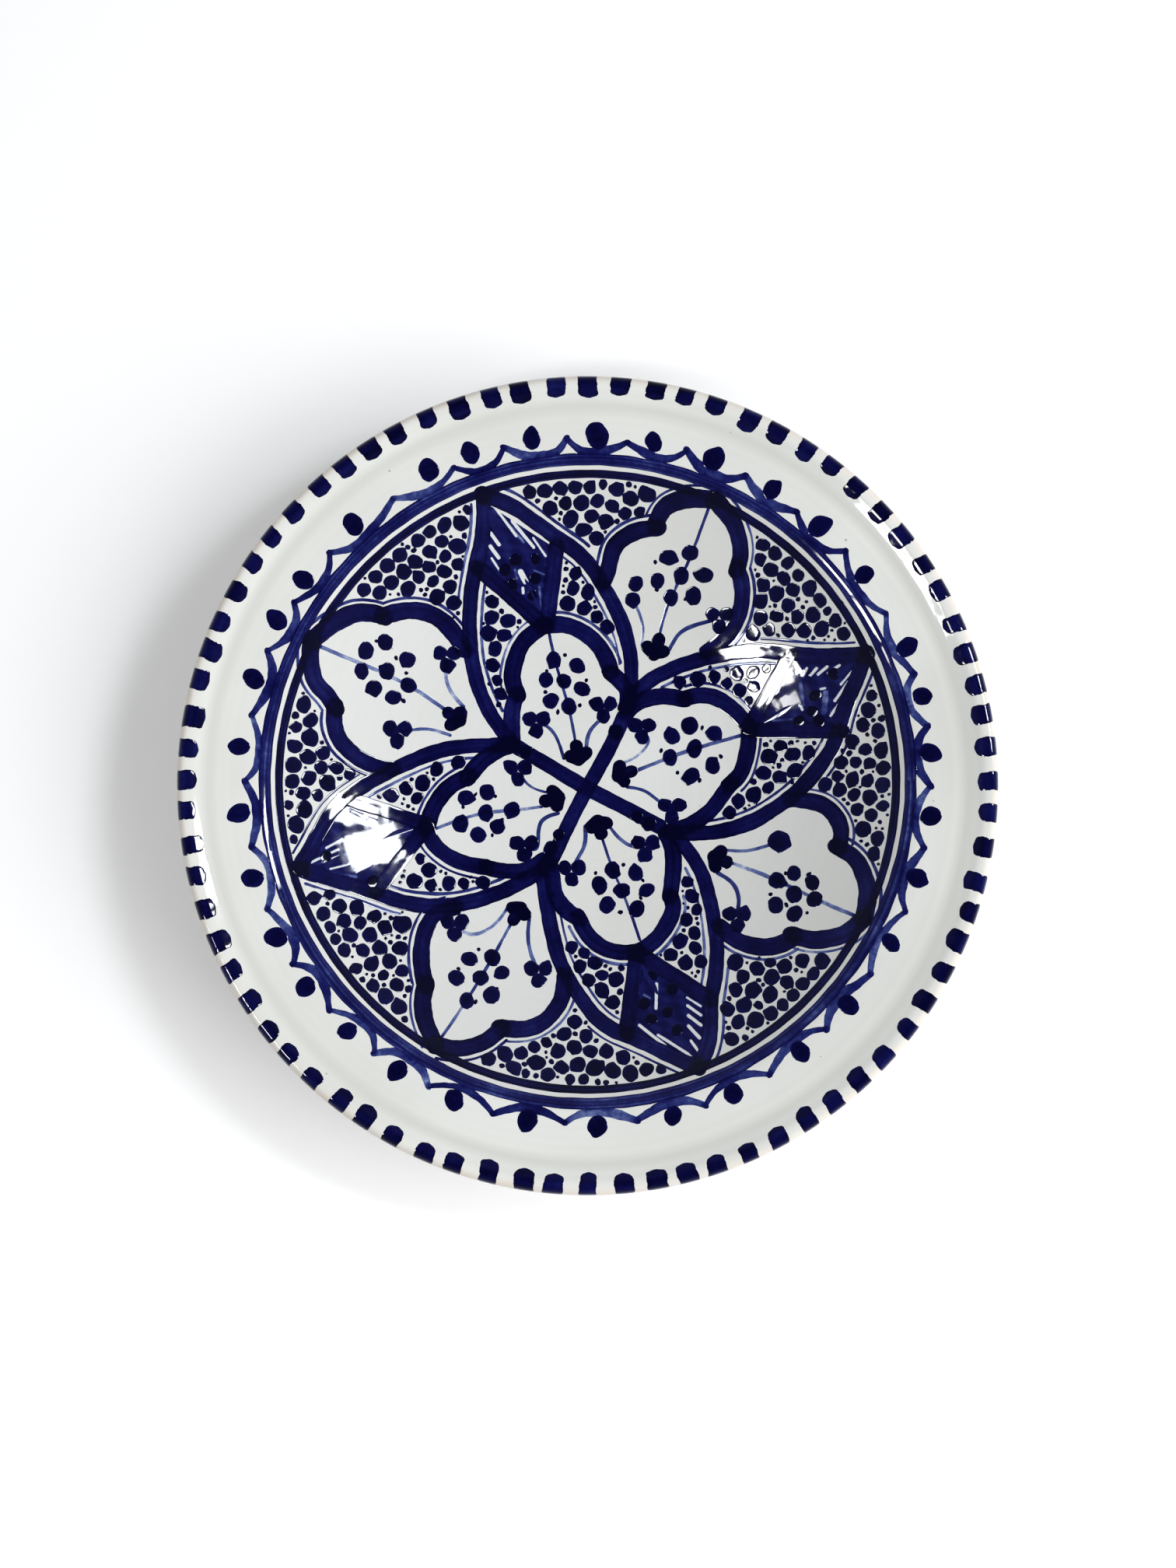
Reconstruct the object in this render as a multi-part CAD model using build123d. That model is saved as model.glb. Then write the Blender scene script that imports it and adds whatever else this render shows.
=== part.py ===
from build123d import *
import math
import os
import random

# Hand painted ceramic plate, in millimetres.
# The origin is at the centre of the foot ring's resting plane, +Z up. Seen from above, the
# pattern's north is +Y and its east is +X.

# ---- Driving dimensions ------------------------------------------------------------------

PLATE_RADIUS = 150.0
WELL_FLOOR_HEIGHT = 15.0
GLAZE = 0.5
PAINT = 0.25

# The painted face, as (radius, slope in degrees) from the centre out. A tangent arc runs from
# each entry to the next: well, shoulder, flange, groove, thickened rim, lip.
FACE_SLOPES = [
    (0, 0), (22, 0.5), (50, 8), (75, 18), (100, 26), (113, 31), (117.5, 31),
    (121.5, 10), (130, 9), (137, 9), (140, 20), (144, 24), (147.3, 0), (PLATE_RADIUS, -90),
]
# The underside in the same form, from the lip in to the foot ring.
BACK_SLOPES = [
    (PLATE_RADIUS, 90), (147.4, 20), (138, 12), (123, 11), (119, 30), (112, 34),
    (100, 31), (86, 24), (75, 17), (67, 10),
]
FOOT_OUTER = 64.5
FOOT_INNER = 57.5
FOOT_WELL_HEIGHT = 6.5
FOOT_EDGE = 0.8
FOOT_DRAFT = 0.9

OUTLINE_WIDTH = 5.2
LOZENGE_WIDTH = 6.0
CONTOUR_WIDTH = 0.9
STAMEN_WIDTH = 1.3
GARLAND_WIDTH = 2.2

# Two painted rings, eccentric to the plate as the wheel left them.
RING_CENTRE = (0.0, 1.1)
OUTER_BAND = (116.9, 120.2)
INNER_BAND = (112.2, 115.0)

RIM_DASHES = 76
RIM_DASH_INNER = 142.6
RIM_DASH_WIDTH = 7.2
# The drops on the flange, spaced by eye: their bearings in degrees, counted from east.
DROP_BEARINGS = [
    4, 13.5, 22, 36, 47, 57, 68, 78.5, 88, 99, 109.5, 117, 132.5, 145, 153, 163.5, 175, 186,
    197, 207.5, 217, 227, 237.5, 248, 260.5, 272, 284.5, 295, 308, 319, 331.5, 343, 353.5,
]
BIGGEST_DROP = 8
DROP_CENTRE = (-0.9, 1.7)
DROP_RADIUS = 127.0
DROP_LENGTH = 7.2
DROP_WIDTH = 6.2
GARLAND_PEAK = 126.2
GARLAND_DIP = 122.0
GARLAND_GAP = 0.08

# ---- Brushwork: centre lines of the strokes, in plan --------------------------------------

CROSS_STROKES = [
    [(-14.2, -29), (-7.7, -15), (-0.5, -1.2), (5.8, 10.3), (13, 25), (15.5, 31)],
    [(-29, 16.5), (-15, 8.3), (-0.5, -0.3), (10, -5.7), (20, -11.1), (31, -17)],
]

# Each inner petal is four strokes, clockwise round it, with its tip between the second and
# the third.
INNER_PETALS = {
    "north": [
        [(-28.6, 16.5), (-28.8, 24), (-28.5, 30), (-26.4, 35.5)],
        [(-26.4, 35), (-28.5, 40), (-27.9, 46), (-25.9, 52), (-21.8, 57.2), (-16.5, 60.8)],
        [(-16.5, 60.8), (-10, 61.2), (-4, 59.7), (1.5, 56.2), (5.8, 51.2), (8.8, 43.5)],
        [(8.4, 43.6), (12, 40.6), (14.9, 36.3), (14.6, 30.5)],
    ],
    "east": [
        [(14.6, 28), (18, 31.2), (23, 33.6), (29, 34.4), (37, 33.2)],
        [(36.5, 33.2), (41.5, 34.5), (47, 34), (52.5, 31.2), (57.2, 26.8), (60.8, 22)],
        [(60.8, 22), (60.6, 16.5), (59.6, 11), (57.6, 5), (53.5, 0.4)],
        [(53.9, 0.8), (50, -4.4), (46.4, -9), (41, -13.2), (36, -15.4), (31, -16.6)],
    ],
    "south": [
        [(29.5, -18), (31.8, -23), (32.3, -29), (32, -35), (30.8, -41.5)],
        [(31.1, -41), (32.1, -45), (30.9, -49.7), (27.6, -55.4), (23, -59.8), (18, -62.2)],
        [(18, -62.2), (12, -62.4), (5.6, -60.4), (0.2, -56), (-3.6, -49.3)],
        [(-3.2, -49.8), (-8.3, -46.2), (-12.2, -41), (-13.3, -35.5), (-14, -29)],
    ],
    "west": [
        [(-16.5, -27.6), (-22, -30.9), (-27.5, -31.9), (-33, -31.6), (-38.4, -30.3)],
        [(-38, -30.4), (-48, -28.5), (-54.6, -24.8), (-58.8, -20), (-60.4, -15)],
        [(-60.4, -15), (-58, -8.2), (-54.4, -2.6), (-49.6, 1.7), (-44.8, 4)],
        [(-45.4, 3.4), (-42.6, 7), (-39, 10.6), (-34, 13.8), (-28.5, 16)],
    ],
}

# Each outer petal is four lobes, clockwise round it from one leaf to the next.
OUTER_PETALS = {
    "north_east": [
        [(5.6, 76.4), (7.8, 82), (9.6, 88.6), (14.2, 93), (20, 95.2), (26.4, 96)],
        [(25.2, 97), (28.6, 102.6), (34, 105.2), (40, 105.6), (46.8, 105)],
        [(47.2, 105), (52.5, 99), (55.8, 92.8), (57.1, 86.2), (55.8, 80)],
        [(55.8, 80.6), (57.7, 74.5), (57.6, 67), (55, 60), (50.6, 55), (45, 50.8)],
    ],
    "north_west": [
        [(-73, 6.2), (-79.4, 7.4), (-86, 10.4), (-91.6, 15.4), (-94.4, 22), (-93.9, 28.8)],
        [(-93.8, 28.2), (-96.6, 32.4), (-100.6, 37), (-102.4, 44), (-102, 52.5)],
        [(-102, 52), (-98, 56), (-93, 59.8), (-87, 63), (-81, 63.6), (-75.8, 62.4)],
        [(-76.4, 62.6), (-69.4, 64.8), (-63, 65.2), (-56.6, 63.2), (-51, 58.2), (-46.4, 51.4)],
    ],
    "south_west": [
        [(-8.6, -71), (-9.2, -78), (-12.2, -84), (-18.6, -89.2), (-25.6, -90.8), (-32, -90.2)],
        [(-31.6, -90.2), (-36.8, -94.4), (-43, -97), (-49.6, -97.4), (-56, -96.2)],
        [(-55.8, -96), (-59.6, -87.4), (-60.8, -80), (-59.8, -74)],
        [(-59.8, -74.6), (-61.6, -67), (-61.8, -60), (-60, -53), (-56, -47.8), (-49.5, -45.6)],
    ],
    "south_east": [
        [(76, -5.4), (82, -6), (87.4, -7.4), (92, -11.6), (94.2, -17.6), (93, -24)],
        [(92.6, -23.4), (98, -27), (101.6, -33), (103, -41), (101.2, -50)],
        [(101.2, -50), (96, -54.8), (89.6, -57.3), (82.4, -57.7), (76, -56)],
        [(76.6, -56.4), (71, -59.6), (63.6, -60.4), (56.4, -58.4), (49.4, -52.6)],
    ],
}

# The two edges of each leaf, from the petals round the centre out to the leaf's tip. The
# leaf lies to the right of its first edge and to the left of its second.
LEAF_EDGES = {
    "north": [
        [(-29, 17), (-35.4, 25.4), (-40.4, 35.6), (-43.7, 48), (-44.6, 60), (-43.9, 71),
         (-41.8, 82), (-39.4, 93), (-38.8, 107)],
        [(15.8, 34), (16.6, 44), (15.5, 53), (11.9, 64.5), (6, 75.2), (-2, 86), (-10, 91.6),
         (-20, 98.3), (-28.5, 103.6), (-38.8, 107)],
    ],
    "east": [
        [(16.5, 34.5), (22.5, 39.6), (31, 44), (41, 47.6), (53, 50), (67, 50.4), (80, 48.6),
         (91, 47.6), (102.8, 47.4)],
        [(32, -17), (43, -17.6), (53, -16.2), (63, -12.8), (71.6, -7.6), (79.4, -1.4),
         (86.4, 6.6), (92, 15.6), (95.2, 27), (99.2, 37.4), (102.8, 47.4)],
    ],
    "south": [
        [(33.6, -19), (39.8, -27), (44, -36), (46.6, -46), (48, -58), (47.6, -70),
         (45.8, -81), (45, -93), (40.6, -104.6)],
        [(-17, -34), (-15.4, -45), (-13, -56.5), (-9.9, -67), (-5, -75.6), (0.6, -83.6),
         (7.6, -90), (16.6, -94), (29, -99.6), (40.6, -104.6)],
    ],
    "west": [
        [(-18, -31.6), (-28, -37.6), (-38, -41.8), (-50, -44.6), (-62, -44.8), (-72, -43),
         (-82, -39.4), (-93, -36), (-106.3, -31.7)],
        [(-31, 16.2), (-44, 15.4), (-55, 13.7), (-65, 10), (-76, 4.4), (-86.4, -2), (-94.6, -9.6),
         (-100.4, -20), (-106.3, -31.7)],
    ],
}

# The two lower sides of each lozenge: from the inner petal's tip to the leaf's two edges.
LOZENGE_SIDES = {
    "north": [[(-17, 61), (-28.6, 71), (-41.6, 81.6)], [(-15.4, 61), (-13.6, 75), (-11.6, 90)]],
    "east": [[(61, 22.6), (68, 35), (76, 49)], [(61.4, 21.2), (78, 20.6), (93.8, 19.8)]],
    "south": [[(18.4, -62), (16.4, -77), (14.4, -92.4)], [(19, -62.4), (32, -71), (45.8, -80)]],
    "west": [[(-60.6, -15.6), (-69, -26.4), (-79, -39.8)], [(-60.6, -14.6), (-76, -9.6), (-90.6, -5.2)]],
}
# The painted diamond inside each lozenge. It reaches under the outlines round it.
LOZENGE_FILLS = {
    "north": [(-16.2, 63), (-41, 81), (-38.8, 105), (-11.8, 89)],
    "east": [(63, 21.8), (76, 48), (101.5, 46.6), (93.6, 20.4)],
    "south": [(18.6, -64), (14.6, -91.6), (40, -103), (45.6, -80)],
    "west": [(-62.4, -15.2), (-78.6, -39), (-104.6, -31.7), (-90.4, -5.6)],
}
# Bare slits that the brush left in the diamonds, as straight lines with their widths. Short
# slanted ones make a hatched band along the sides by the leaf's tip.
LOZENGE_SLITS = {
    "north": [
        ((-35.9, 97.3), (-33.2, 94.8), 1.2), ((-36.2, 93.8), (-33.2, 89.9), 1.5),
        ((-36.4, 89.2), (-33.4, 85.3), 1.5), ((-36.0, 85.0), (-33.2, 80.9), 0.9),
        ((-34.6, 103.0), (-26.8, 93.1), 1.0), ((-28.2, 98.3), (-20.2, 89.2), 1.3),
        ((-20.4, 92.5), (-15.8, 86.2), 0.9), ((-25.2, 80.3), (-23.4, 77.0), 2.4),
        ((-24.4, 74.6), (-24.3, 72.8), 1.1),
    ],
    "east": [
        ((80.6, 41.0), (81.9, 43.5), 1.1), ((83.3, 40.9), (85.4, 43.3), 1.2),
        ((86.0, 41.1), (89.2, 43.7), 1.2), ((89.6, 41.4), (93.6, 44.0), 1.1),
        ((94.8, 41.6), (97.4, 43.8), 1.0), ((98.0, 41.6), (94.2, 37.0), 0.9),
        ((96.8, 37.8), (92.1, 31.1), 1.2), ((94.0, 30.6), (90.6, 25.6), 1.1),
        ((87.0, 35.6), (88.5, 35.9), 0.9), ((80.4, 28.2), (79.8, 29.6), 1.0),
    ],
    "south": [
        ((36.9, -79.2), (41.9, -82.3), 0.9), ((37.1, -82.2), (41.9, -85.6), 1.2),
        ((37.3, -85.8), (41.8, -89.2), 1.3), ((37.3, -89.6), (41.2, -93.8), 1.4),
        ((38.0, -94.9), (40.6, -98.6), 1.1), ((19.2, -89.4), (28.6, -96.8), 1.3),
        ((26.0, -92.9), (37.8, -100.2), 1.1), ((25.7, -74.2), (25.4, -83.2), 1.3),
    ],
    "west": [
        ((-91.2, -20.6), (-96.8, -23.8), 1.0), ((-93.0, -24.5), (-102.0, -29.3), 1.0),
        ((-88.8, -29.9), (-95.2, -31.6), 0.8), ((-80.8, -30.0), (-86.0, -32.7), 0.8),
        ((-84.0, -11.5), (-88.5, -9.6), 1.0), ((-79.5, -13.2), (-82.0, -12.4), 1.0),
    ],
}

# Thin lines run beside the outlines: outside the petals, inside the leaves, and outside the
# leaves by their tips. They leave a sliver of white, and run between these shares of the
# outline's length.
CONTOUR_OFFSET = 4.5
PETAL_CONTOUR_ENDS = (0.09, 0.91)
LEAF_CONTOUR_ENDS = (0.16, 0.68)
LEAF_TIP_CONTOUR_ENDS = (0.62, 0.95)

# Each petal's flower: three stamen lines, the blot they spring from, the two groups of
# three dots at the side stamens' ends, and the dots in the middle.
FLOWERS = {
    "north_inner": {
        "lines": [[(-4.5, 16), (-7.3, 30.8), (-11, 43), (-14.5, 57.6)],
                  [(-9, 11), (-11, 17), (-16.2, 23.4)], [(-0.5, 14), (1.4, 22), (6, 28)]],
        "blot": (-3.4, 10.6), "tips": [(-19.4, 24.4), (6, 30)],
        "dots": [(-12.9, 48.2), (-4, 46), (-15.8, 40.7), (-9, 40.2), (-2.2, 37.3),
                 (-14, 32.8), (-7.1, 30.7)],
    },
    "east_inner": {
        "lines": [[(17.5, 5.8), (31.1, 11.2), (40.4, 14.4), (58.6, 19.4)],
                  [(11, 8.5), (18.4, 11.6), (23, 18.6)], [(15, 0), (22, -1.6), (27.5, -5.8)]],
        "blot": (11.7, 4.2), "tips": [(20.6, 22), (31.8, -8.4)],
        "dots": [(31.9, 19.3), (38.6, 23.2), (47.8, 20.2), (40.4, 14.5), (31.2, 11.2),
                 (47.2, 8), (39.1, 4.1)],
    },
    "south_inner": {
        "lines": [[(5.4, -19), (9.6, -31.3), (12.9, -39.2), (19.6, -57.6)],
                  [(7.4, -13.6), (12, -19.4), (18, -22.6)], [(-0.9, -15), (-1.4, -22.6), (-4.4, -28.4)]],
        "blot": (3.6, -13), "tips": [(21.8, -22.6), (-6, -32)],
        "dots": [(9.4, -31.5), (18.1, -32.6), (4.5, -37), (12.9, -39.2), (22.3, -39),
                 (7.3, -44.6), (18.5, -46.1)],
    },
    "west_inner": {
        "lines": [[(-17.5, -7.5), (-28.8, -8.8), (-38.4, -9.8), (-57, -15.9)],
                  [(-12.5, -2.4), (-18, -1.4), (-23, 1.4)], [(-11.3, -10), (-18, -14), (-20.2, -23.6)]],
        "blot": (-11, -4), "tips": [(-26.4, 6), (-24, -22.8)],
        "dots": [(-46, -4.2), (-38, -2), (-38.5, -9.8), (-28.6, -8.7), (-48, -14),
                 (-34.1, -15.1), (-41.4, -18.2)],
    },
    "north_east_outer": {
        "lines": [[(26.6, 55), (31.4, 71), (35.3, 78.8), (45.2, 102.8)],
                  [(20.4, 54), (20.9, 60), (18.6, 67.6)], [(31, 52), (35, 58), (41.6, 61)]],
        "blot": (25.2, 50.4), "tips": [(49.6, 63)],
        "dots": [(30.4, 85.4), (38.4, 86.8), (18.2, 76.2), (26.3, 77.2), (35.2, 78.8),
                 (43.6, 78.8), (17, 70.4), (31.4, 71), (39.8, 71.5)],
    },
    "north_west_outer": {
        "lines": [[(-54, 29), (-67.5, 37.8), (-84, 44.8), (-99, 50.6)],
                  [(-47, 30.4), (-52, 36.4), (-53.6, 43)], [(-52, 19.4), (-60.8, 21.6), (-67.8, 20.8)]],
        "blot": (-48.4, 25), "tips": [(-53, 48.6), (-71.6, 20)],
        "dots": [(-82.8, 49.9), (-75.8, 53.3), (-67.7, 47.3), (-84.5, 42.4), (-75.2, 42.7),
                 (-80, 36.3), (-67.4, 37.8), (-73, 33.1)],
    },
    "south_west_outer": {
        "lines": [[(-28.8, -51.7), (-35.7, -64.6), (-44.8, -80.2), (-54, -94)],
                  [(-30, -45.4), (-35.4, -52.4), (-45, -55.4)], [(-21.9, -49), (-22.2, -58), (-19.8, -66.6)]],
        "blot": (-25.4, -45.6), "tips": [(-49.8, -52.6), (-18.4, -70)],
        "dots": [(-44.1, -64.9), (-35.6, -64.4), (-48.8, -71.9), (-39.8, -71.9), (-32, -70),
                 (-35.7, -78.3), (-44.8, -80.4)],
    },
    "south_east_outer": {
        "lines": [[(54.2, -29), (70.8, -35.6), (84.4, -42.6), (98.8, -49.2)],
                  [(51.7, -24), (60, -24.3), (68.6, -22)], [(49, -32.8), (54.8, -37.2), (56.6, -44)]],
        "blot": (47.6, -26.8), "tips": [(55.8, -49.6)], "heavy": (71.8, -20.8),
        "dots": [(70.8, -35.7), (77, -33), (83.6, -36.6), (76.9, -40.9), (84.2, -42.8),
                 (70.2, -44.9), (76.9, -48.1)],
    },
}
DOT_RADIUS = 2.75
HEAVY_DOT_RADIUS = 4.0
TIP_DOT_RADIUS = 2.6
TIP_SPREAD = 3.0
BLOT_TOE = 6.4
BLOT_WIDTH = 5.6

# The dots that fill the ground between petals and leaves.
GROUND_PITCH = 5.5
GROUND_OUTER = 109.0
GROUND_INNER = 20.0
GROUND_DOT_RADIUS = 2.35
GROUND_CLEARANCE = 0.1
SPECK_RADIUS = 0.95
SMALLEST_MARK = 2.7
SEED = 7


# ---- Profiles ----------------------------------------------------------------------------

def run_of_arcs(slopes, start_height, depth, inward):
    """Edges of a run of tangent arcs, moved `depth` into the plate's wall.

    inward is -1 on the painted face, where the wall lies below, and 1 on the underside."""
    radius, slope = slopes[0]
    height = start_height
    nodes = [(radius, height, slope)]
    for next_radius, next_slope in slopes[1:]:
        chord = math.radians((slope + next_slope) / 2)
        height += (next_radius - radius) * math.tan(chord)
        radius, slope = next_radius, next_slope
        nodes.append((radius, height, slope))
    places = []
    for radius, height, slope in nodes:
        angle = math.radians(slope)
        shift_r = -inward * depth * math.sin(angle)
        shift_z = inward * depth * math.cos(angle)
        places.append((Vector(radius + shift_r, 0, height + shift_z), angle))
    direction = 1 if slopes[-1][0] > slopes[0][0] else -1
    edges = []
    for (start, angle), (end, _) in zip(places, places[1:]):
        tangent = Vector(math.cos(angle), 0, math.sin(angle)) * direction
        if tangent.cross(end - start).length < 1e-6:
            edges.append(Edge.make_line(start, end))
        else:
            edges.append(Edge.make_tangent_arc(start, tangent, end))
    return edges


def turned(edges):
    """The solid that a closed profile sweeps about the plate's axis."""
    return revolve(Face(Wire(edges)), Axis.Z, 360)


def joined(first, second):
    """A straight edge between the free ends of two places."""
    return Edge.make_line(first, second)


def coat(slopes, start_height, inward, depth_from, depth_to):
    """A layer that follows a run of arcs between two depths."""
    near = run_of_arcs(slopes, start_height, depth_from, inward)
    far = run_of_arcs(slopes, start_height, depth_to, inward)
    return near, far


def face_layer(depth_from, depth_to):
    """A layer over the whole painted face. Negative depths stand proud of the glaze."""
    near, far = coat(FACE_SLOPES, WELL_FLOOR_HEIGHT, -1, depth_from, depth_to)
    ends = [joined(near[-1] @ 1, far[-1] @ 1), joined(far[0] @ 0, near[0] @ 0)]
    return turned(near + far + ends)


LIP_HEIGHT = (run_of_arcs(FACE_SLOPES, WELL_FLOOR_HEIGHT, 0, -1)[-1] @ 1).Z


def back_layer():
    near, far = coat(BACK_SLOPES, LIP_HEIGHT, 1, 0, GLAZE)
    ends = [joined(near[0] @ 0, far[0] @ 0), joined(near[-1] @ 1, far[-1] @ 1)]
    return turned(near + far + ends)


def clay_body():
    """The thrown body with its foot ring, one piece of clay under the glaze coats."""
    face = run_of_arcs(FACE_SLOPES, WELL_FLOOR_HEIGHT, GLAZE, -1)
    back = run_of_arcs(BACK_SLOPES, LIP_HEIGHT, GLAZE, 1)
    bare = run_of_arcs(BACK_SLOPES, LIP_HEIGHT, 0, 1)
    coat_end = bare[-1] @ 1
    ceiling = FOOT_WELL_HEIGHT + GLAZE
    turn = [
        back[-1] @ 1,
        coat_end,
        (FOOT_OUTER + FOOT_DRAFT, 0, coat_end.Z - 2.0),
        (FOOT_OUTER, 0, FOOT_EDGE),
        (FOOT_OUTER - FOOT_EDGE, 0, 0),
        (FOOT_INNER + FOOT_EDGE, 0, 0),
        (FOOT_INNER, 0, FOOT_EDGE),
        (FOOT_INNER - FOOT_DRAFT, 0, ceiling),
        (0, 0, ceiling),
        face[0] @ 0,
    ]
    foot = [joined(a, b) for a, b in zip(turn, turn[1:])]
    return turned(face + back + foot)


def foot_well_layer():
    """The glaze inside the foot ring."""
    top = FOOT_WELL_HEIGHT + GLAZE
    wall = FOOT_DRAFT * (FOOT_WELL_HEIGHT - FOOT_EDGE) / (top - FOOT_EDGE)
    corners = [
        (0, 0, FOOT_WELL_HEIGHT),
        (FOOT_INNER - wall, 0, FOOT_WELL_HEIGHT),
        (FOOT_INNER - FOOT_DRAFT, 0, top),
        (0, 0, top),
    ]
    return turned([joined(a, b) for a, b in zip(corners, corners[1:] + corners[:1])])


# ---- Brush marks in plan -----------------------------------------------------------------

def centre_line(points):
    if len(points) == 2:
        return Edge.make_line(Vector(*points[0]), Vector(*points[1]))
    return Edge.make_spline([Vector(*p) for p in points])


def sampled(points, steps):
    """(place, direction) at even steps along a stroke's centre line."""
    line = centre_line(points)
    return [(line @ (i / steps), line % (i / steps)) for i in range(steps + 1)]


def stroke(points, width):
    """A brush stroke: a band of one width along a smooth line, with round ends."""
    steps = 2 * len(points)
    half = width / 2
    left, right = [], []
    for place, along in sampled(points, steps):
        side = Vector(-along.Y, along.X) * half
        left.append(place + side)
        right.append(place - side)
    line = centre_line(points)
    cap_start = Edge.make_three_point_arc(right[0], line @ 0 - (line % 0) * half, left[0])
    cap_end = Edge.make_three_point_arc(left[-1], line @ 1 + (line % 1) * half, right[-1])
    return Face(Wire([Edge.make_spline(left), cap_end, Edge.make_spline(right), cap_start]))


def oval(x, y, length, width, turn):
    """An oval dab of the brush, in plan."""
    edge = Edge.make_ellipse(length / 2, width / 2)
    return Face(Wire([edge])).rotate(Axis.Z, turn).moved(Location((x, y, 0)))


def polygon(points):
    closed = points + points[:1]
    return Face(Wire([Edge.make_line(Vector(*a), Vector(*b)) for a, b in zip(closed, closed[1:])]))


def polar(radius, degrees, centre=(0.0, 0.0)):
    angle = math.radians(degrees)
    return (centre[0] + radius * math.cos(angle), centre[1] + radius * math.sin(angle))


def ring(radii):
    inner, outer = radii
    middle = Location((RING_CENTRE[0], RING_CENTRE[1], 0))
    return (Sketch() + Circle(outer) - Circle(inner)).moved(middle)


def fused(faces):
    """One sketch from brush marks that overlap."""
    return Sketch() + list(faces)


def border_drops():
    """Drops on the flange, round below and drawn out towards the rim."""
    chance = random.Random(SEED + 1)
    marks = []
    for i, bearing in enumerate(DROP_BEARINGS):
        x, y = polar(DROP_RADIUS + chance.uniform(-0.5, 0.5), bearing, DROP_CENTRE)
        size = 1.3 if i == BIGGEST_DROP else chance.uniform(0.92, 1.08)
        marks.append((x, y, DROP_LENGTH * size, DROP_WIDTH * size, bearing + chance.uniform(-25, 25)))
    return marks


def garland():
    """Swags that hang under the drops, and nearly meet in a peak between each two of them."""
    chance = random.Random(SEED + 2)
    peaks = []
    for bearing, following in zip(DROP_BEARINGS, DROP_BEARINGS[1:] + DROP_BEARINGS[:1]):
        peaks.append((bearing + (following - bearing) % 360 / 2, GARLAND_PEAK + chance.uniform(-1, 1)))
    swags = []
    for (angle, radius), (next_angle, next_radius) in zip(peaks, peaks[1:] + peaks[:1]):
        span = (next_angle - angle) % 360
        ends = (angle + GARLAND_GAP, angle + span / 2, angle + span - GARLAND_GAP)
        lower, upper = (
            [Vector(*polar(reach + shift, bearing, RING_CENTRE))
             for reach, bearing in zip((radius, GARLAND_DIP, next_radius), ends)]
            for shift in (-GARLAND_WIDTH / 2, GARLAND_WIDTH / 2)
        )
        swags.append(Face(Wire([
            Edge.make_three_point_arc(*lower),
            Edge.make_line(lower[2], upper[2]),
            Edge.make_three_point_arc(*upper[::-1]),
            Edge.make_line(upper[0], lower[0]),
        ])))
    return swags


def all_strokes(groups):
    return [line for group in groups.values() for line in group]


def beside(points, distance, ends):
    """Part of a stroke's centre line, moved to the left of its direction."""
    steps = 6
    first, last = ends
    line = centre_line(points)
    moved = []
    for i in range(steps + 1):
        share = first + (last - first) * i / steps
        along = line % share
        place = line @ share + Vector(-along.Y, along.X) * distance
        moved.append((place.X, place.Y))
    return moved


def contour_places():
    """Centre lines of the thin lines beside the petals' upper lobes and the leaves."""
    lines = []
    for strokes in INNER_PETALS.values():
        lines += [beside(line, CONTOUR_OFFSET, PETAL_CONTOUR_ENDS) for line in strokes[1:3]]
    for lobes in OUTER_PETALS.values():
        lines += [beside(line, CONTOUR_OFFSET, PETAL_CONTOUR_ENDS) for line in lobes]
    for first, second in LEAF_EDGES.values():
        for edge, inward in ((first, -CONTOUR_OFFSET), (second, CONTOUR_OFFSET)):
            lines.append(beside(edge, inward, LEAF_CONTOUR_ENDS))
            lines.append(beside(edge, -inward, LEAF_TIP_CONTOUR_ENDS))
    return lines


def contour_lines():
    return [stroke(line, CONTOUR_WIDTH) for line in contour_places()]


def lozenge_fills():
    """Each lozenge's painted diamond, less the bare slits."""
    marks = []
    for name, corners in LOZENGE_FILLS.items():
        slits = [stroke(list(ends), width) for *ends, width in LOZENGE_SLITS[name]]
        marks.append(Sketch() + polygon(corners) - slits)
    return marks


def stamen_blots():
    """Three-toed blots, with their toes away from the plate's centre."""
    marks = []
    for flower in FLOWERS.values():
        x, y = flower["blot"]
        middle = flower["lines"][0]
        outward = math.degrees(math.atan2(middle[1][1] - y, middle[1][0] - x))
        toes = [stroke([(x, y), (x + dx, y + dy)], BLOT_WIDTH)
                for dx, dy in (polar(BLOT_TOE * reach, outward + turn)
                               for turn, reach in ((-62, 0.5), (0, 0.8), (62, 0.5)))]
        marks.append(fused(toes))
    return marks


def stamen_lines():
    return [stroke(line, STAMEN_WIDTH) for flower in FLOWERS.values() for line in flower["lines"]]


def stamen_tips():
    """Three dabs close together at the end of each side stamen."""
    marks = []
    for flower in FLOWERS.values():
        for x, y in flower["tips"]:
            for turn in (30, 150, 270):
                dx, dy = polar(TIP_SPREAD, turn)
                marks.append((x + dx, y + dy, 2 * TIP_DOT_RADIUS, 1.9 * TIP_DOT_RADIUS, turn))
    return marks


def petal_dots():
    chance = random.Random(SEED + 3)
    marks = []
    for flower in FLOWERS.values():
        for x, y in flower["dots"]:
            length = 2 * DOT_RADIUS * chance.uniform(0.98, 1.08)
            width = 2 * DOT_RADIUS * chance.uniform(0.88, 0.98)
            marks.append((x, y, length, width, chance.uniform(0, 180)))
        if "heavy" in flower:
            marks.append((*flower["heavy"], 2 * HEAVY_DOT_RADIUS, 1.9 * HEAVY_DOT_RADIUS, 0))
    return marks


# ---- Ground dots -------------------------------------------------------------------------

def inside(x, y, corners):
    """Whether a place lies inside a closed run of corners."""
    found = False
    for (ax, ay), (bx, by) in zip(corners, corners[1:] + corners[:1]):
        if (ay > y) != (by > y) and x < ax + (bx - ax) * (y - ay) / (by - ay):
            found = not found
    return found


def places(points, steps=24):
    return [(place.X, place.Y) for place, _ in sampled(points, steps)]


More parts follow.
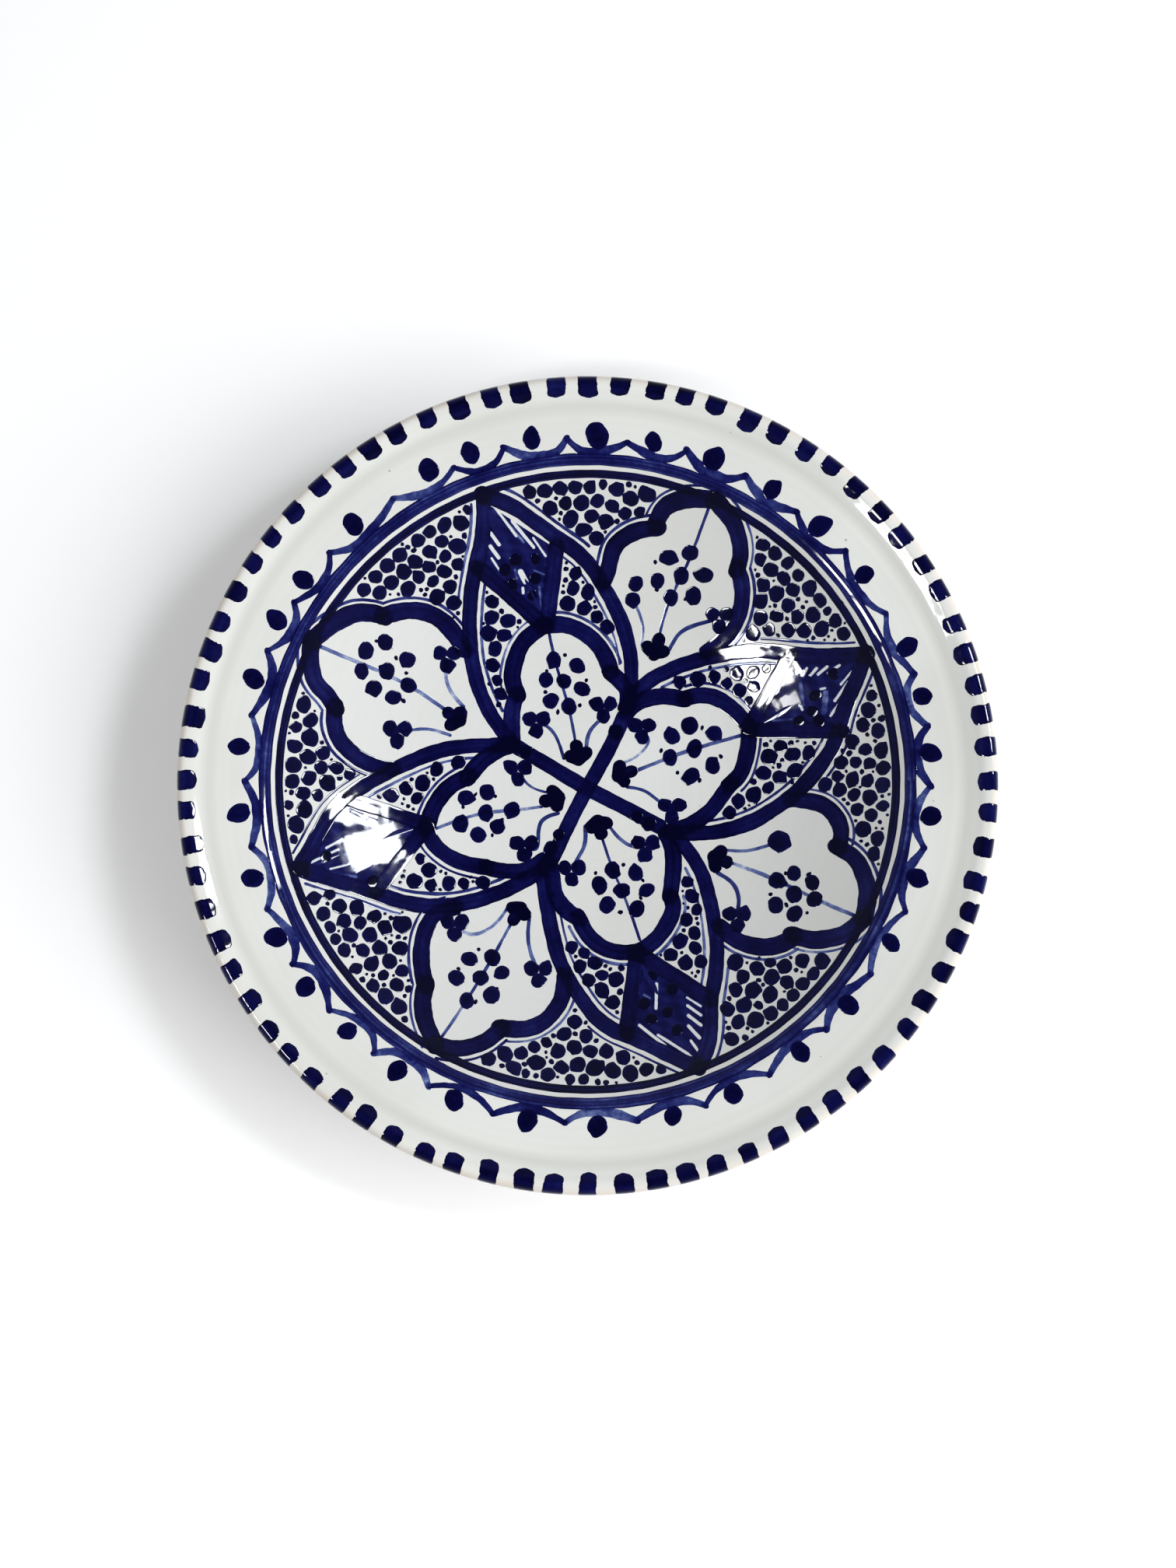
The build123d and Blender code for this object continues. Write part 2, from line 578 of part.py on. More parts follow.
def enclosed_areas():
    """Rough outlines of what the ground dots stay out of: the petals and the lozenges."""
    areas = []
    for lobes in list(INNER_PETALS.values()) + list(OUTER_PETALS.values()):
        areas.append([p for lobe in lobes for p in places(lobe, 8)])
    for name, area in zip(INNER_PETALS, areas[:len(INNER_PETALS)]):
        area.append((0.0, 0.0))
    bases = {"north_east": (17, 35), "north_west": (-29, 17), "south_west": (-17, -33), "south_east": (33, -18)}
    for name, area in zip(OUTER_PETALS, areas[len(INNER_PETALS):]):
        area.append(bases[name])
    for name, sides in LOZENGE_SIDES.items():
        tip = LEAF_EDGES[name][0][-1]
        areas.append([sides[0][0], sides[0][-1], tip, sides[1][-1]])
    return areas


def ground_layout():
    """Places and sizes of the ground dots, in rows that follow the inner band."""
    chance = random.Random(SEED + 4)
    areas = enclosed_areas()
    walls = []
    for groups, width in ((INNER_PETALS, OUTLINE_WIDTH), (OUTER_PETALS, OUTLINE_WIDTH),
                          (LEAF_EDGES, OUTLINE_WIDTH), (LOZENGE_SIDES, LOZENGE_WIDTH)):
        for line in all_strokes(groups):
            walls += [(x, y, width / 2) for x, y in places(line)]
    for line in contour_places():
        walls += [(x, y, 0) for x, y in line]
    dots, specks = [], []

    def free(x, y, radius):
        if math.hypot(x - RING_CENTRE[0], y - RING_CENTRE[1]) > GROUND_OUTER:
            return False
        if any(math.hypot(x - wx, y - wy) < half + radius + GROUND_CLEARANCE
               for wx, wy, half in walls + dots + specks):
            return False
        return not any(inside(x, y, area) for area in areas)

    radius = GROUND_OUTER
    while radius > GROUND_INNER:
        count = int(2 * math.pi * radius / GROUND_PITCH)
        for i in range(count):
            angle = 360 / count * (i + chance.uniform(-0.16, 0.16))
            x, y = polar(radius + chance.uniform(-0.6, 0.4), angle, RING_CENTRE)
            size = GROUND_DOT_RADIUS * chance.uniform(0.86, 1.12)
            if free(x, y, size):
                dots.append((x, y, size))
        radius -= 0.92 * GROUND_PITCH
    for _ in range(6000):
        x, y = polar(chance.uniform(GROUND_INNER, GROUND_OUTER), chance.uniform(0, 360), RING_CENTRE)
        size = GROUND_DOT_RADIUS * chance.uniform(0.75, 1.0)
        if free(x, y, size):
            dots.append((x, y, size))
    for x, y, size in dots:
        reach = SPECK_RADIUS * chance.uniform(0.7, 1.05)
        spot = polar(size + reach + 0.15, chance.uniform(0, 360), (x, y))
        if free(*spot, reach):
            specks.append((*spot, reach))
    return dots, specks


def ground_marks(layout, seed):
    chance = random.Random(seed)
    return [(x, y, 2 * size, 2 * size * chance.uniform(0.86, 0.98), chance.uniform(0, 180))
            for x, y, size in layout]


# ---- From plan to solids -----------------------------------------------------------------

def rim_dashes():
    """Dashes of paint that start on the thickened rim and run over the lip to its edge."""
    first = next(i for i, (radius, _) in enumerate(FACE_SLOPES) if radius > RIM_DASH_INNER)
    near = run_of_arcs(FACE_SLOPES, WELL_FLOOR_HEIGHT, 0, -1)[first:]
    far = run_of_arcs(FACE_SLOPES, WELL_FLOOR_HEIGHT, -PAINT, -1)[first:]
    ends = [joined(near[-1] @ 1, far[-1] @ 1), joined(far[0] @ 0, near[0] @ 0)]
    profile = Face(Wire(near + far + ends))
    chance = random.Random(SEED)
    dashes = []
    for i in range(RIM_DASHES):
        angle = 360 / RIM_DASHES * (i + chance.uniform(-0.09, 0.09))
        sweep = math.degrees(RIM_DASH_WIDTH / RIM_DASH_INNER) * chance.uniform(0.92, 1.06)
        dash = revolve(profile, Axis.Z, sweep).rotate(Axis.Z, angle - sweep / 2)
        dashes += list(dash.solids())
    return Compound(dashes)


def face_place(radius):
    """Height and slope of the glazed face at a distance from the plate's axis."""
    height = WELL_FLOOR_HEIGHT
    for (r0, slope0), (r1, slope1) in zip(FACE_SLOPES, FACE_SLOPES[1:]):
        reach = min(radius, r1) - r0
        slope = slope0 + (slope1 - slope0) * reach / (r1 - r0)
        height += reach * math.tan(math.radians((slope0 + slope) / 2))
        if radius <= r1:
            break
    return height, slope


def dabs(layout, lift):
    """Small oval marks as flat dabs, each in the glaze's tangent plane and lifted clear of it."""
    solids = []
    for x, y, length, width, turn in layout:
        radius = math.hypot(x, y)
        height, slope = face_place(radius)
        tilt = math.radians(slope)
        normal = Vector(0, 0, math.cos(tilt)) - Vector(x, y) / radius * math.sin(tilt)
        heading = Vector(*polar(1, turn))
        lie = Plane(
            Vector(x, y, height) + normal * lift,
            x_dir=heading - normal * normal.dot(heading),
            z_dir=normal,
        )
        oval = Face(Wire([Edge.make_ellipse(length / 2, width / 2, plane=lie)]))
        solids.append(Solid.extrude(oval, normal * PAINT))
    return Compound(solids)


def painted(marks, shell):
    """Solids of paint: each mark in plan, carried up to the layer on the glaze."""
    solids = []
    for mark in marks:
        for face in mark.faces():
            column = Solid.extrude(face, Vector(0, 0, 2 * PLATE_RADIUS))
            layer = column & shell
            solids += list(layer.solids())
    return Compound(solids)


def apart(one, other):
    """Whether two marks' boxes lie clear of each other."""
    a, b = one.bounding_box(), other.bounding_box()
    return a.min.X > b.max.X or b.min.X > a.max.X or a.min.Y > b.max.Y or b.min.Y > a.max.Y


def cut(marks, earlier):
    """Marks less those painted before them, so that no two layers of paint overlap."""
    kept = []
    for mark in marks:
        piece = Sketch() + list(mark.faces())
        for other in earlier:
            if piece.faces() and not apart(piece, other):
                piece = piece - other
        kept += [face for face in piece.faces() if face.area > SMALLEST_MARK]
    return kept


def write(name, shape):
    shape.label = name
    export_step(shape, f"parts/{name}.step")
    print(name, len(shape.solids()), round(shape.volume, 1))


def outlines(groups, width):
    return list(fused(stroke(line, width) for line in all_strokes(groups)).faces())


def dab_layouts():
    """Every node of oval dabs, with how far the curve under them lifts them."""
    dots, specks = ground_layout()
    return {
        "border_drops": (border_drops(), 0.03),
        "stamen_tips": (stamen_tips(), 0.03),
        "petal_dots": (petal_dots(), 0.03),
        "ground_dots": (ground_marks(dots, SEED + 5), 0.03),
        "ground_specks": (ground_marks(specks, SEED + 6), 0.01),
    }


def strokes_in_plan():
    """Every node of strokes as marks in plan, in the order that they are cut round each other."""
    cross = fused(stroke(line, OUTLINE_WIDTH) for line in CROSS_STROKES)
    return {
        "centre_cross": list(cross.faces()),
        "inner_petals": outlines(INNER_PETALS, OUTLINE_WIDTH),
        "leaf_outlines": outlines(LEAF_EDGES, OUTLINE_WIDTH),
        "outer_petals": outlines(OUTER_PETALS, OUTLINE_WIDTH),
        "lozenge_frames": outlines(LOZENGE_SIDES, LOZENGE_WIDTH),
        "lozenge_fills": lozenge_fills(),
        "inner_band": [ring(INNER_BAND)],
        "outer_band": [ring(OUTER_BAND)],
        "stamen_blots": stamen_blots(),
    }


def thin_lines_in_plan():
    """The thin lines, which are cut round everything else."""
    return {
        "garland": garland(),
        "stamen_lines": stamen_lines(),
        "contour_lines": contour_lines(),
    }


def main():
    os.makedirs("parts", exist_ok=True)
    write("clay_body", clay_body())
    write("front_glaze", face_layer(0, GLAZE))
    write("back_glaze", back_layer())
    write("foot_well_glaze", foot_well_layer())
    write("rim_dashes", rim_dashes())
    shell = face_layer(-PAINT, 0)
    earlier = []
    for name, marks in strokes_in_plan().items():
        marks = cut(marks, earlier)
        write(name, painted(marks, shell))
        earlier += marks
    for name, (layout, lift) in dab_layouts().items():
        write(name, dabs(layout, lift))
        earlier += [oval(*mark) for mark in layout]
    for name, marks in thin_lines_in_plan().items():
        marks = cut(marks, earlier)
        write(name, painted(marks, shell))
        earlier += marks


if __name__ == "__main__":
    main()
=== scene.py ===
import math
import random

import bpy
import numpy as np
from mathutils import Matrix, Vector


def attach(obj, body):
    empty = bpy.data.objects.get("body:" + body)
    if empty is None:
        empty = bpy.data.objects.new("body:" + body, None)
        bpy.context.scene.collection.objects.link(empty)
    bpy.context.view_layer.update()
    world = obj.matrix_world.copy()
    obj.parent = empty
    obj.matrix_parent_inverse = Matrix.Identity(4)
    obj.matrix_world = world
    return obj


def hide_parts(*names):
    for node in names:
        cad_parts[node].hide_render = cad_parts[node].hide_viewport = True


# The looks of a hand painted ceramic plate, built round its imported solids. Lengths in this
# file are millimetres, and become metres where a mesh is made.

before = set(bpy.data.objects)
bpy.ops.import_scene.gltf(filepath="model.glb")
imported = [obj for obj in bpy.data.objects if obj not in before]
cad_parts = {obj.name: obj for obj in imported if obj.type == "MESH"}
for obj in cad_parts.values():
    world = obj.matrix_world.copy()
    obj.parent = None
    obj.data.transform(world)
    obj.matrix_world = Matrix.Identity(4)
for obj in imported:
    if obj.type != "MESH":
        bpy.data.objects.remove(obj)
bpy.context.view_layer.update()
MM = 0.001

# ---- The plate's form, as in the model ---------------------------------------------------

PLATE_RADIUS = 150.0
WELL_FLOOR_HEIGHT = 15.0
GLAZE = 0.5
FACE_SLOPES = [
    (0, 0), (22, 0.5), (50, 8), (75, 18), (100, 26), (113, 31), (117.5, 31),
    (121.5, 10), (130, 9), (137, 9), (140, 20), (144, 24), (147.3, 0), (PLATE_RADIUS, -90),
]
BACK_SLOPES = [
    (PLATE_RADIUS, 90), (147.4, 20), (138, 12), (123, 11), (119, 30), (112, 34),
    (100, 31), (86, 24), (75, 17), (67, 10),
]
FOOT_INNER = 57.5
FOOT_WELL_HEIGHT = 6.5
FOOT_DRAFT = 0.9
RING_CENTRE = (0.0, 1.1)
OUTER_BAND = (116.9, 120.2)
INNER_BAND = (112.2, 115.0)
CONTOUR_WIDTH = 1.25
STAMEN_WIDTH = 1.6
GARLAND_WIDTH = 2.6
DROP_BEARINGS = [
    4, 13.5, 22, 36, 47, 57, 68, 78.5, 88, 99, 109.5, 117, 132.5, 145, 153, 163.5, 175, 186,
    197, 207.5, 217, 227, 237.5, 248, 260.5, 272, 284.5, 295, 308, 319, 331.5, 343, 353.5,
]
GARLAND_PEAK = 126.2
GARLAND_DIP = 121.3
GARLAND_HIP = 1.3
CONTOUR_OFFSET = 4.5
PETAL_CONTOUR_ENDS = (0.06, 0.94)
LEAF_CONTOUR_ENDS = (0.13, 0.70)
LEAF_TIP_CONTOUR_ENDS = (0.58, 0.96)
TIP_REACH = 9.0
BLOT_TOE = 6.4
BLOT_WIDTH = 5.2
SEED = 7

# ---- Brushwork: centre lines of the strokes, in plan --------------------------------------

CROSS_STROKES = [
    [(-14.2, -29), (-7.7, -15), (-0.5, -1.2), (5.8, 10.3), (13, 25), (15.5, 31)],
    [(-29, 16.5), (-15, 8.3), (-0.5, -0.3), (10, -5.7), (20, -11.1), (31, -17)],
]

# Each inner petal is four strokes, clockwise round it, with its tip between the second and
# the third.
INNER_PETALS = {
    "north": [
        [(-28.6, 16.5), (-28.8, 24), (-28.5, 30), (-26.4, 35.5)],
        [(-26.4, 35), (-28.5, 40), (-27.9, 46), (-25.9, 52), (-21.8, 57.2), (-16.5, 60.8)],
        [(-16.5, 60.8), (-10, 61.2), (-4, 59.7), (1.5, 56.2), (5.8, 51.2), (8.8, 43.5)],
        [(8.4, 43.6), (12, 40.6), (14.9, 36.3), (14.6, 30.5)],
    ],
    "east": [
        [(14.6, 28), (18, 31.2), (23, 33.6), (29, 34.4), (37, 33.2)],
        [(36.5, 33.2), (41.5, 34.5), (47, 34), (52.5, 31.2), (57.2, 26.8), (60.8, 22)],
        [(60.8, 22), (60.6, 16.5), (59.6, 11), (57.6, 5), (53.5, 0.4)],
        [(53.9, 0.8), (50, -4.4), (46.4, -9), (41, -13.2), (36, -15.4), (31, -16.6)],
    ],
    "south": [
        [(29.5, -18), (31.8, -23), (32.3, -29), (32, -35), (30.8, -41.5)],
        [(31.1, -41), (32.1, -45), (30.9, -49.7), (27.6, -55.4), (23, -59.8), (18, -62.2)],
        [(18, -62.2), (12, -62.4), (5.6, -60.4), (0.2, -56), (-3.6, -49.3)],
        [(-3.2, -49.8), (-8.3, -46.2), (-12.2, -41), (-13.3, -35.5), (-14, -29)],
    ],
    "west": [
        [(-16.5, -27.6), (-22, -30.9), (-27.5, -31.9), (-33, -31.6), (-38.4, -30.3)],
        [(-38, -30.4), (-48, -28.5), (-54.6, -24.8), (-58.8, -20), (-60.4, -15)],
        [(-60.4, -15), (-58, -8.2), (-54.4, -2.6), (-49.6, 1.7), (-44.8, 4)],
        [(-45.4, 3.4), (-42.6, 7), (-39, 10.6), (-34, 13.8), (-28.5, 16)],
    ],
}

# Each outer petal is four lobes, clockwise round it from one leaf to the next.
OUTER_PETALS = {
    "north_east": [
        [(5.6, 76.4), (7.8, 82), (9.6, 88.6), (14.2, 93), (20, 95.2), (26.4, 96)],
        [(25.2, 97), (28.6, 102.6), (34, 105.2), (40, 105.6), (46.8, 105)],
        [(47.2, 105), (52.5, 99), (55.8, 92.8), (57.1, 86.2), (55.8, 80)],
        [(55.8, 80.6), (57.7, 74.5), (57.6, 67), (55, 60), (50.6, 55), (45, 50.8)],
    ],
    "north_west": [
        [(-73, 6.2), (-79.4, 7.4), (-86, 10.4), (-91.6, 15.4), (-94.4, 22), (-93.9, 28.8)],
        [(-93.8, 28.2), (-96.6, 32.4), (-100.6, 37), (-102.4, 44), (-102, 52.5)],
        [(-102, 52), (-98, 56), (-93, 59.8), (-87, 63), (-81, 63.6), (-75.8, 62.4)],
        [(-76.4, 62.6), (-69.4, 64.8), (-63, 65.2), (-56.6, 63.2), (-51, 58.2), (-46.4, 51.4)],
    ],
    "south_west": [
        [(-8.6, -71), (-9.2, -78), (-12.2, -84), (-18.6, -89.2), (-25.6, -90.8), (-32, -90.2)],
        [(-31.6, -90.2), (-36.8, -94.4), (-43, -97), (-49.6, -97.4), (-56, -96.2)],
        [(-55.8, -96), (-59.6, -87.4), (-60.8, -80), (-59.8, -74)],
        [(-59.8, -74.6), (-61.6, -67), (-61.8, -60), (-60, -53), (-56, -47.8), (-49.5, -45.6)],
    ],
    "south_east": [
        [(76, -5.4), (82, -6), (87.4, -7.4), (92, -11.6), (94.2, -17.6), (93, -24)],
        [(92.6, -23.4), (98, -27), (101.6, -33), (103, -41), (101.2, -50)],
        [(101.2, -50), (96, -54.8), (89.6, -57.3), (82.4, -57.7), (76, -56)],
        [(76.6, -56.4), (71, -59.6), (63.6, -60.4), (56.4, -58.4), (49.4, -52.6)],
    ],
}

# The two edges of each leaf, from the petals round the centre out to the leaf's tip. The
# leaf lies to the right of its first edge and to the left of its second.
LEAF_EDGES = {
    "north": [
        [(-29, 17), (-35.4, 25.4), (-40.4, 35.6), (-43.7, 48), (-44.6, 60), (-43.9, 71),
         (-41.8, 82), (-39.4, 93), (-38.8, 107)],
        [(15.8, 34), (16.6, 44), (15.5, 53), (11.9, 64.5), (6, 75.2), (-2, 86), (-10, 91.6),
         (-20, 98.3), (-28.5, 103.6), (-38.8, 107)],
    ],
    "east": [
        [(16.5, 34.5), (22.5, 39.6), (31, 44), (41, 47.6), (53, 50), (67, 50.4), (80, 48.6),
         (91, 47.6), (102.8, 47.4)],
        [(32, -17), (43, -17.6), (53, -16.2), (63, -12.8), (71.6, -7.6), (79.4, -1.4),
         (86.4, 6.6), (92, 15.6), (95.2, 27), (99.2, 37.4), (102.8, 47.4)],
    ],
    "south": [
        [(33.6, -19), (39.8, -27), (44, -36), (46.6, -46), (48, -58), (47.6, -70),
         (45.8, -81), (45, -93), (40.6, -104.6)],
        [(-17, -34), (-15.4, -45), (-13, -56.5), (-9.9, -67), (-5, -75.6), (0.6, -83.6),
         (7.6, -90), (16.6, -94), (29, -99.6), (40.6, -104.6)],
    ],
    "west": [
        [(-18, -31.6), (-28, -37.6), (-38, -41.8), (-50, -44.6), (-62, -44.8), (-72, -43),
         (-82, -39.4), (-93, -36), (-106.3, -31.7)],
        [(-31, 16.2), (-44, 15.4), (-55, 13.7), (-65, 10), (-76, 4.4), (-86.4, -2), (-94.6, -9.6),
         (-100.4, -20), (-106.3, -31.7)],
    ],
}

# The two lower sides of each lozenge: from the inner petal's tip to the leaf's two edges.
LOZENGE_SIDES = {
    "north": [[(-17, 61), (-28.6, 71), (-41.6, 81.6)], [(-15.4, 61), (-13.6, 75), (-11.6, 90)]],
    "east": [[(61, 22.6), (68, 35), (76, 49)], [(61.4, 21.2), (78, 20.6), (93.8, 19.8)]],
    "south": [[(18.4, -62), (16.4, -77), (14.4, -92.4)], [(19, -62.4), (32, -71), (45.8, -80)]],
    "west": [[(-60.6, -15.6), (-69, -26.4), (-79, -39.8)],
             [(-60.6, -14.6), (-76, -9.6), (-90.6, -5.2)]],
}
# The painted diamond inside each lozenge. It reaches under the outlines round it.
LOZENGE_FILLS = {
    "north": [(-16.2, 63), (-41, 81), (-38.8, 105), (-11.8, 89)],
    "east": [(63, 21.8), (76, 48), (101.5, 46.6), (93.6, 20.4)],
    "south": [(18.6, -64), (14.6, -91.6), (40, -103), (45.6, -80)],
    "west": [(-62.4, -15.2), (-78.6, -39), (-104.6, -31.7), (-90.4, -5.6)],
}
# Bare slits that the brush left in the diamonds, as straight lines with their widths. Short
# slanted ones make a hatched band along the sides by the leaf's tip.
LOZENGE_SLITS = {
    "north": [
        ((-35.9, 97.3), (-33.2, 94.8), 1.2), ((-36.2, 93.8), (-33.2, 89.9), 1.5),
        ((-36.4, 89.2), (-33.4, 85.3), 1.5), ((-36.0, 85.0), (-33.2, 80.9), 0.9),
        ((-34.6, 103.0), (-26.8, 93.1), 1.0), ((-28.2, 98.3), (-20.2, 89.2), 1.3),
        ((-20.4, 92.5), (-15.8, 86.2), 0.9), ((-25.2, 80.3), (-23.4, 77.0), 2.4),
        ((-24.4, 74.6), (-24.3, 72.8), 1.1),
    ],
    "east": [
        ((80.6, 41.0), (81.9, 43.5), 1.1), ((83.3, 40.9), (85.4, 43.3), 1.2),
        ((86.0, 41.1), (89.2, 43.7), 1.2), ((89.6, 41.4), (93.6, 44.0), 1.1),
        ((94.8, 41.6), (97.4, 43.8), 1.0), ((98.0, 41.6), (94.2, 37.0), 0.9),
        ((96.8, 37.8), (92.1, 31.1), 1.2), ((94.0, 30.6), (90.6, 25.6), 1.1),
        ((87.0, 35.6), (88.5, 35.9), 0.9), ((80.4, 28.2), (79.8, 29.6), 1.0),
    ],
    "south": [
        ((36.9, -79.2), (41.9, -82.3), 0.9), ((37.1, -82.2), (41.9, -85.6), 1.2),
        ((37.3, -85.8), (41.8, -89.2), 1.3), ((37.3, -89.6), (41.2, -93.8), 1.4),
        ((38.0, -94.9), (40.6, -98.6), 1.1), ((19.2, -89.4), (28.6, -96.8), 1.3),
        ((26.0, -92.9), (37.8, -100.2), 1.1), ((25.7, -74.2), (25.4, -83.2), 1.3),
    ],
    "west": [
        ((-91.2, -20.6), (-96.8, -23.8), 1.0), ((-93.0, -24.5), (-102.0, -29.3), 1.0),
        ((-88.8, -29.9), (-95.2, -31.6), 0.8), ((-80.8, -30.0), (-86.0, -32.7), 0.8),
        ((-84.0, -11.5), (-88.5, -9.6), 1.0), ((-79.5, -13.2), (-82.0, -12.4), 1.0),
    ],
}

# Each petal's flower: its stamen lines, the blot that they spring from, and where the dabs
# at the side stamens' ends are.
FLOWERS = {
    "north_inner": {
        "lines": [[(-4.5, 16), (-7.3, 30.8), (-11, 43), (-14.5, 57.6)],
                  [(-9, 11), (-11, 17), (-16.2, 23.4)], [(-0.5, 14), (1.4, 22), (6, 28)]],
        "blot": (-3.4, 10.6), "tips": [(-19.4, 24.4), (6, 30)],
    },
    "east_inner": {
        "lines": [[(17.5, 5.8), (31.1, 11.2), (40.4, 14.4), (58.6, 19.4)],
                  [(11, 8.5), (18.4, 11.6), (23, 18.6)], [(15, 0), (22, -1.6), (27.5, -5.8)]],
        "blot": (11.7, 4.2), "tips": [(20.6, 22), (31.8, -8.4)],
    },
    "south_inner": {
        "lines": [[(5.4, -19), (9.6, -31.3), (12.9, -39.2), (19.6, -57.6)],
                  [(7.4, -13.6), (12, -19.4), (18, -22.6)],
                  [(-0.9, -15), (-1.4, -22.6), (-4.4, -28.4)]],
        "blot": (3.6, -13), "tips": [(21.8, -22.6), (-6, -32)],
    },
    "west_inner": {
        "lines": [[(-17.5, -7.5), (-28.8, -8.8), (-38.4, -9.8), (-57, -15.9)],
                  [(-12.5, -2.4), (-18, -1.4), (-23, 1.4)],
                  [(-11.3, -10), (-18, -14), (-20.2, -23.6)]],
        "blot": (-11, -4), "tips": [(-26.4, 6), (-24, -22.8)],
    },
    "north_east_outer": {
        "lines": [[(26.6, 55), (31.4, 71), (35.3, 78.8), (45.2, 102.8)],
                  [(20.4, 54), (20.9, 60), (18.6, 67.6)], [(31, 52), (35, 58), (41.6, 61)]],
        "blot": (25.2, 50.4), "tips": [(49.6, 63)],
    },
    "north_west_outer": {
        "lines": [[(-54, 29), (-67.5, 37.8), (-84, 44.8), (-99, 50.6)],
                  [(-47, 30.4), (-52, 36.4), (-53.6, 43)],
                  [(-52, 19.4), (-60.8, 21.6), (-67.8, 20.8)]],
        "blot": (-48.4, 25), "tips": [(-53, 48.6), (-71.6, 20)],
    },
    "south_west_outer": {
        "lines": [[(-28.8, -51.7), (-35.7, -64.6), (-44.8, -80.2), (-54, -94)],
                  [(-30, -45.4), (-35.4, -52.4), (-45, -55.4)],
                  [(-21.9, -49), (-22.2, -58), (-19.8, -66.6)]],
        "blot": (-25.4, -45.6), "tips": [(-49.8, -52.6), (-18.4, -70)],
    },
    "south_east_outer": {
        "lines": [[(54.2, -29), (70.8, -35.6), (84.4, -42.6), (98.8, -49.2)],
                  [(51.7, -24), (60, -24.3), (68.6, -22)],
                  [(49, -32.8), (54.8, -37.2), (56.6, -44)]],
        "blot": (47.6, -26.8), "tips": [(71.8, -20.8), (55.8, -49.6)],
    },
}

# Round touches of a second load in the lozenges, and strokes where the wash stayed lighter,
# as straight lines with their widths.
LOZENGE_TOUCHES = [
    (-27, 84.6), (-19.6, 85), (-19.6, 78), (-20.8, 72), (-28.3, 75.8), (-31, 81), (85, 33.3),
    (83.8, 27.5), (79.2, 24.2), (86.2, 23.8), (91.6, 41), (24, -71), (31.6, -76), (21, -81.4),
    (29.6, -84.6), (23.6, -87), (33, -91), (-96.8, -27), (-80, -36), (-104, -33),
]
LIGHTER_WASH = [
    ((-18.2, 75), (-17.6, 67), 0.9), ((-27.3, 81), (-26.6, 78), 1.0),
    ((-20, 81), (-16.4, 79.6), 0.7), ((-33, 101), (-24, 91), 1.0), ((79.6, 38), (80.6, 30), 1.4),
    ((69.4, 24.6), (76.5, 24.8), 0.8), ((88.8, 34), (88.2, 27), 2.2),
    ((19.4, -69), (19.1, -78), 0.8), ((21, -78.2), (23.4, -79.6), 0.9),
    ((31, -96), (36, -99.5), 0.9), ((-97, -33), (-86, -34.6), 1.2), ((-90, -26), (-79, -24), 1.6),
]
# Small satellites that fell from the brush inside the petals.
SATELLITES = [
    (-8.6, 50), (-11.3, 28.5), (-3, 31), (-0.5, 40.5), (-15.5, 44), (-16, 36), (43.3, 22.3),
    (27.8, 13.8), (50.3, 11.4), (34, 5.4), (42.3, 2.5), (13.5, -29.4), (3, -32.5), (20.8, -35.3),
    (12.3, -47.3), (20, -42), (4.3, -40), (-36, -18.3), (-42.5, -3), (-47, -7.5), (-35, -3.5),
    (25.4, 83.9), (26, 74), (36.8, 70.3), (-78.8, 53.6), (-71.8, 47.7), (-68.1, 42.3), (-69.3, 32),
    (-40.7, -61.3), (-48, -68.5), (-46.5, -73), (-33.8, -76), (-41.5, -80.7), (81.4, -47.8),
    (68.3, -40.8), (82.3, -33.5), (74, -33), (74, -44.8),
]
# Heavier touches where strokes meet: (place, diameter).
BLOTS = [
    ((-29, 16.5), 5.8), ((14, 30), 5.6), ((30.5, -17), 5.8), ((-15.5, -28.5), 5.8),
    ((-17, 61), 5.6), ((61, 22), 5.6), ((18, -62), 5.6), ((-60.5, -15), 5.6),
    ((46.8, 105), 5.2), ((-102, 52), 5.2), ((-56, -96), 5.2), ((101, -50), 5.2),
    ((-38.8, 106), 5.6), ((102, 47.4), 5.6), ((40.6, -104), 5.6), ((-105.4, -31.7), 5.6),
]


# ---- The glazed surface -------------------------------------------------------------------

def arcs(slopes, start_height, steps=24):
    """Radius, height and slope along a run of tangent arcs."""
    radius, height = float(slopes[0][0]), start_height
    rows = []
    for (r0, slope0), (r1, slope1) in zip(slopes, slopes[1:]):
        low, high = math.sin(math.radians(slope0)), math.sin(math.radians(slope1))
        for i in range(steps):
            share = i / steps
            if abs(slope1 - slope0) > 1:
                bearing = math.radians(slope0 + (slope1 - slope0) * share)
                reach = (math.sin(bearing) - low) / (high - low)
            else:
                bearing, reach = math.radians(slope0 + (slope1 - slope0) * share), share
            chord = (math.radians(slope0) + bearing) / 2
            rows.append((r0 + (r1 - r0) * reach,
                         height + (r1 - r0) * reach * math.tan(chord), bearing))
        height += (r1 - r0) * math.tan(math.radians((slope0 + slope1) / 2))
    rows.append((slopes[-1][0], height, math.radians(slopes[-1][1])))
    return np.array(rows)


FACE = arcs(FACE_SLOPES, WELL_FLOOR_HEIGHT)
LIP_HEIGHT = FACE[-1, 1]
BACK = arcs(BACK_SLOPES, LIP_HEIGHT)
FACE_RUN = np.concatenate([[0], np.cumsum(np.hypot(np.diff(FACE[:, 0]), np.diff(FACE[:, 1])))])


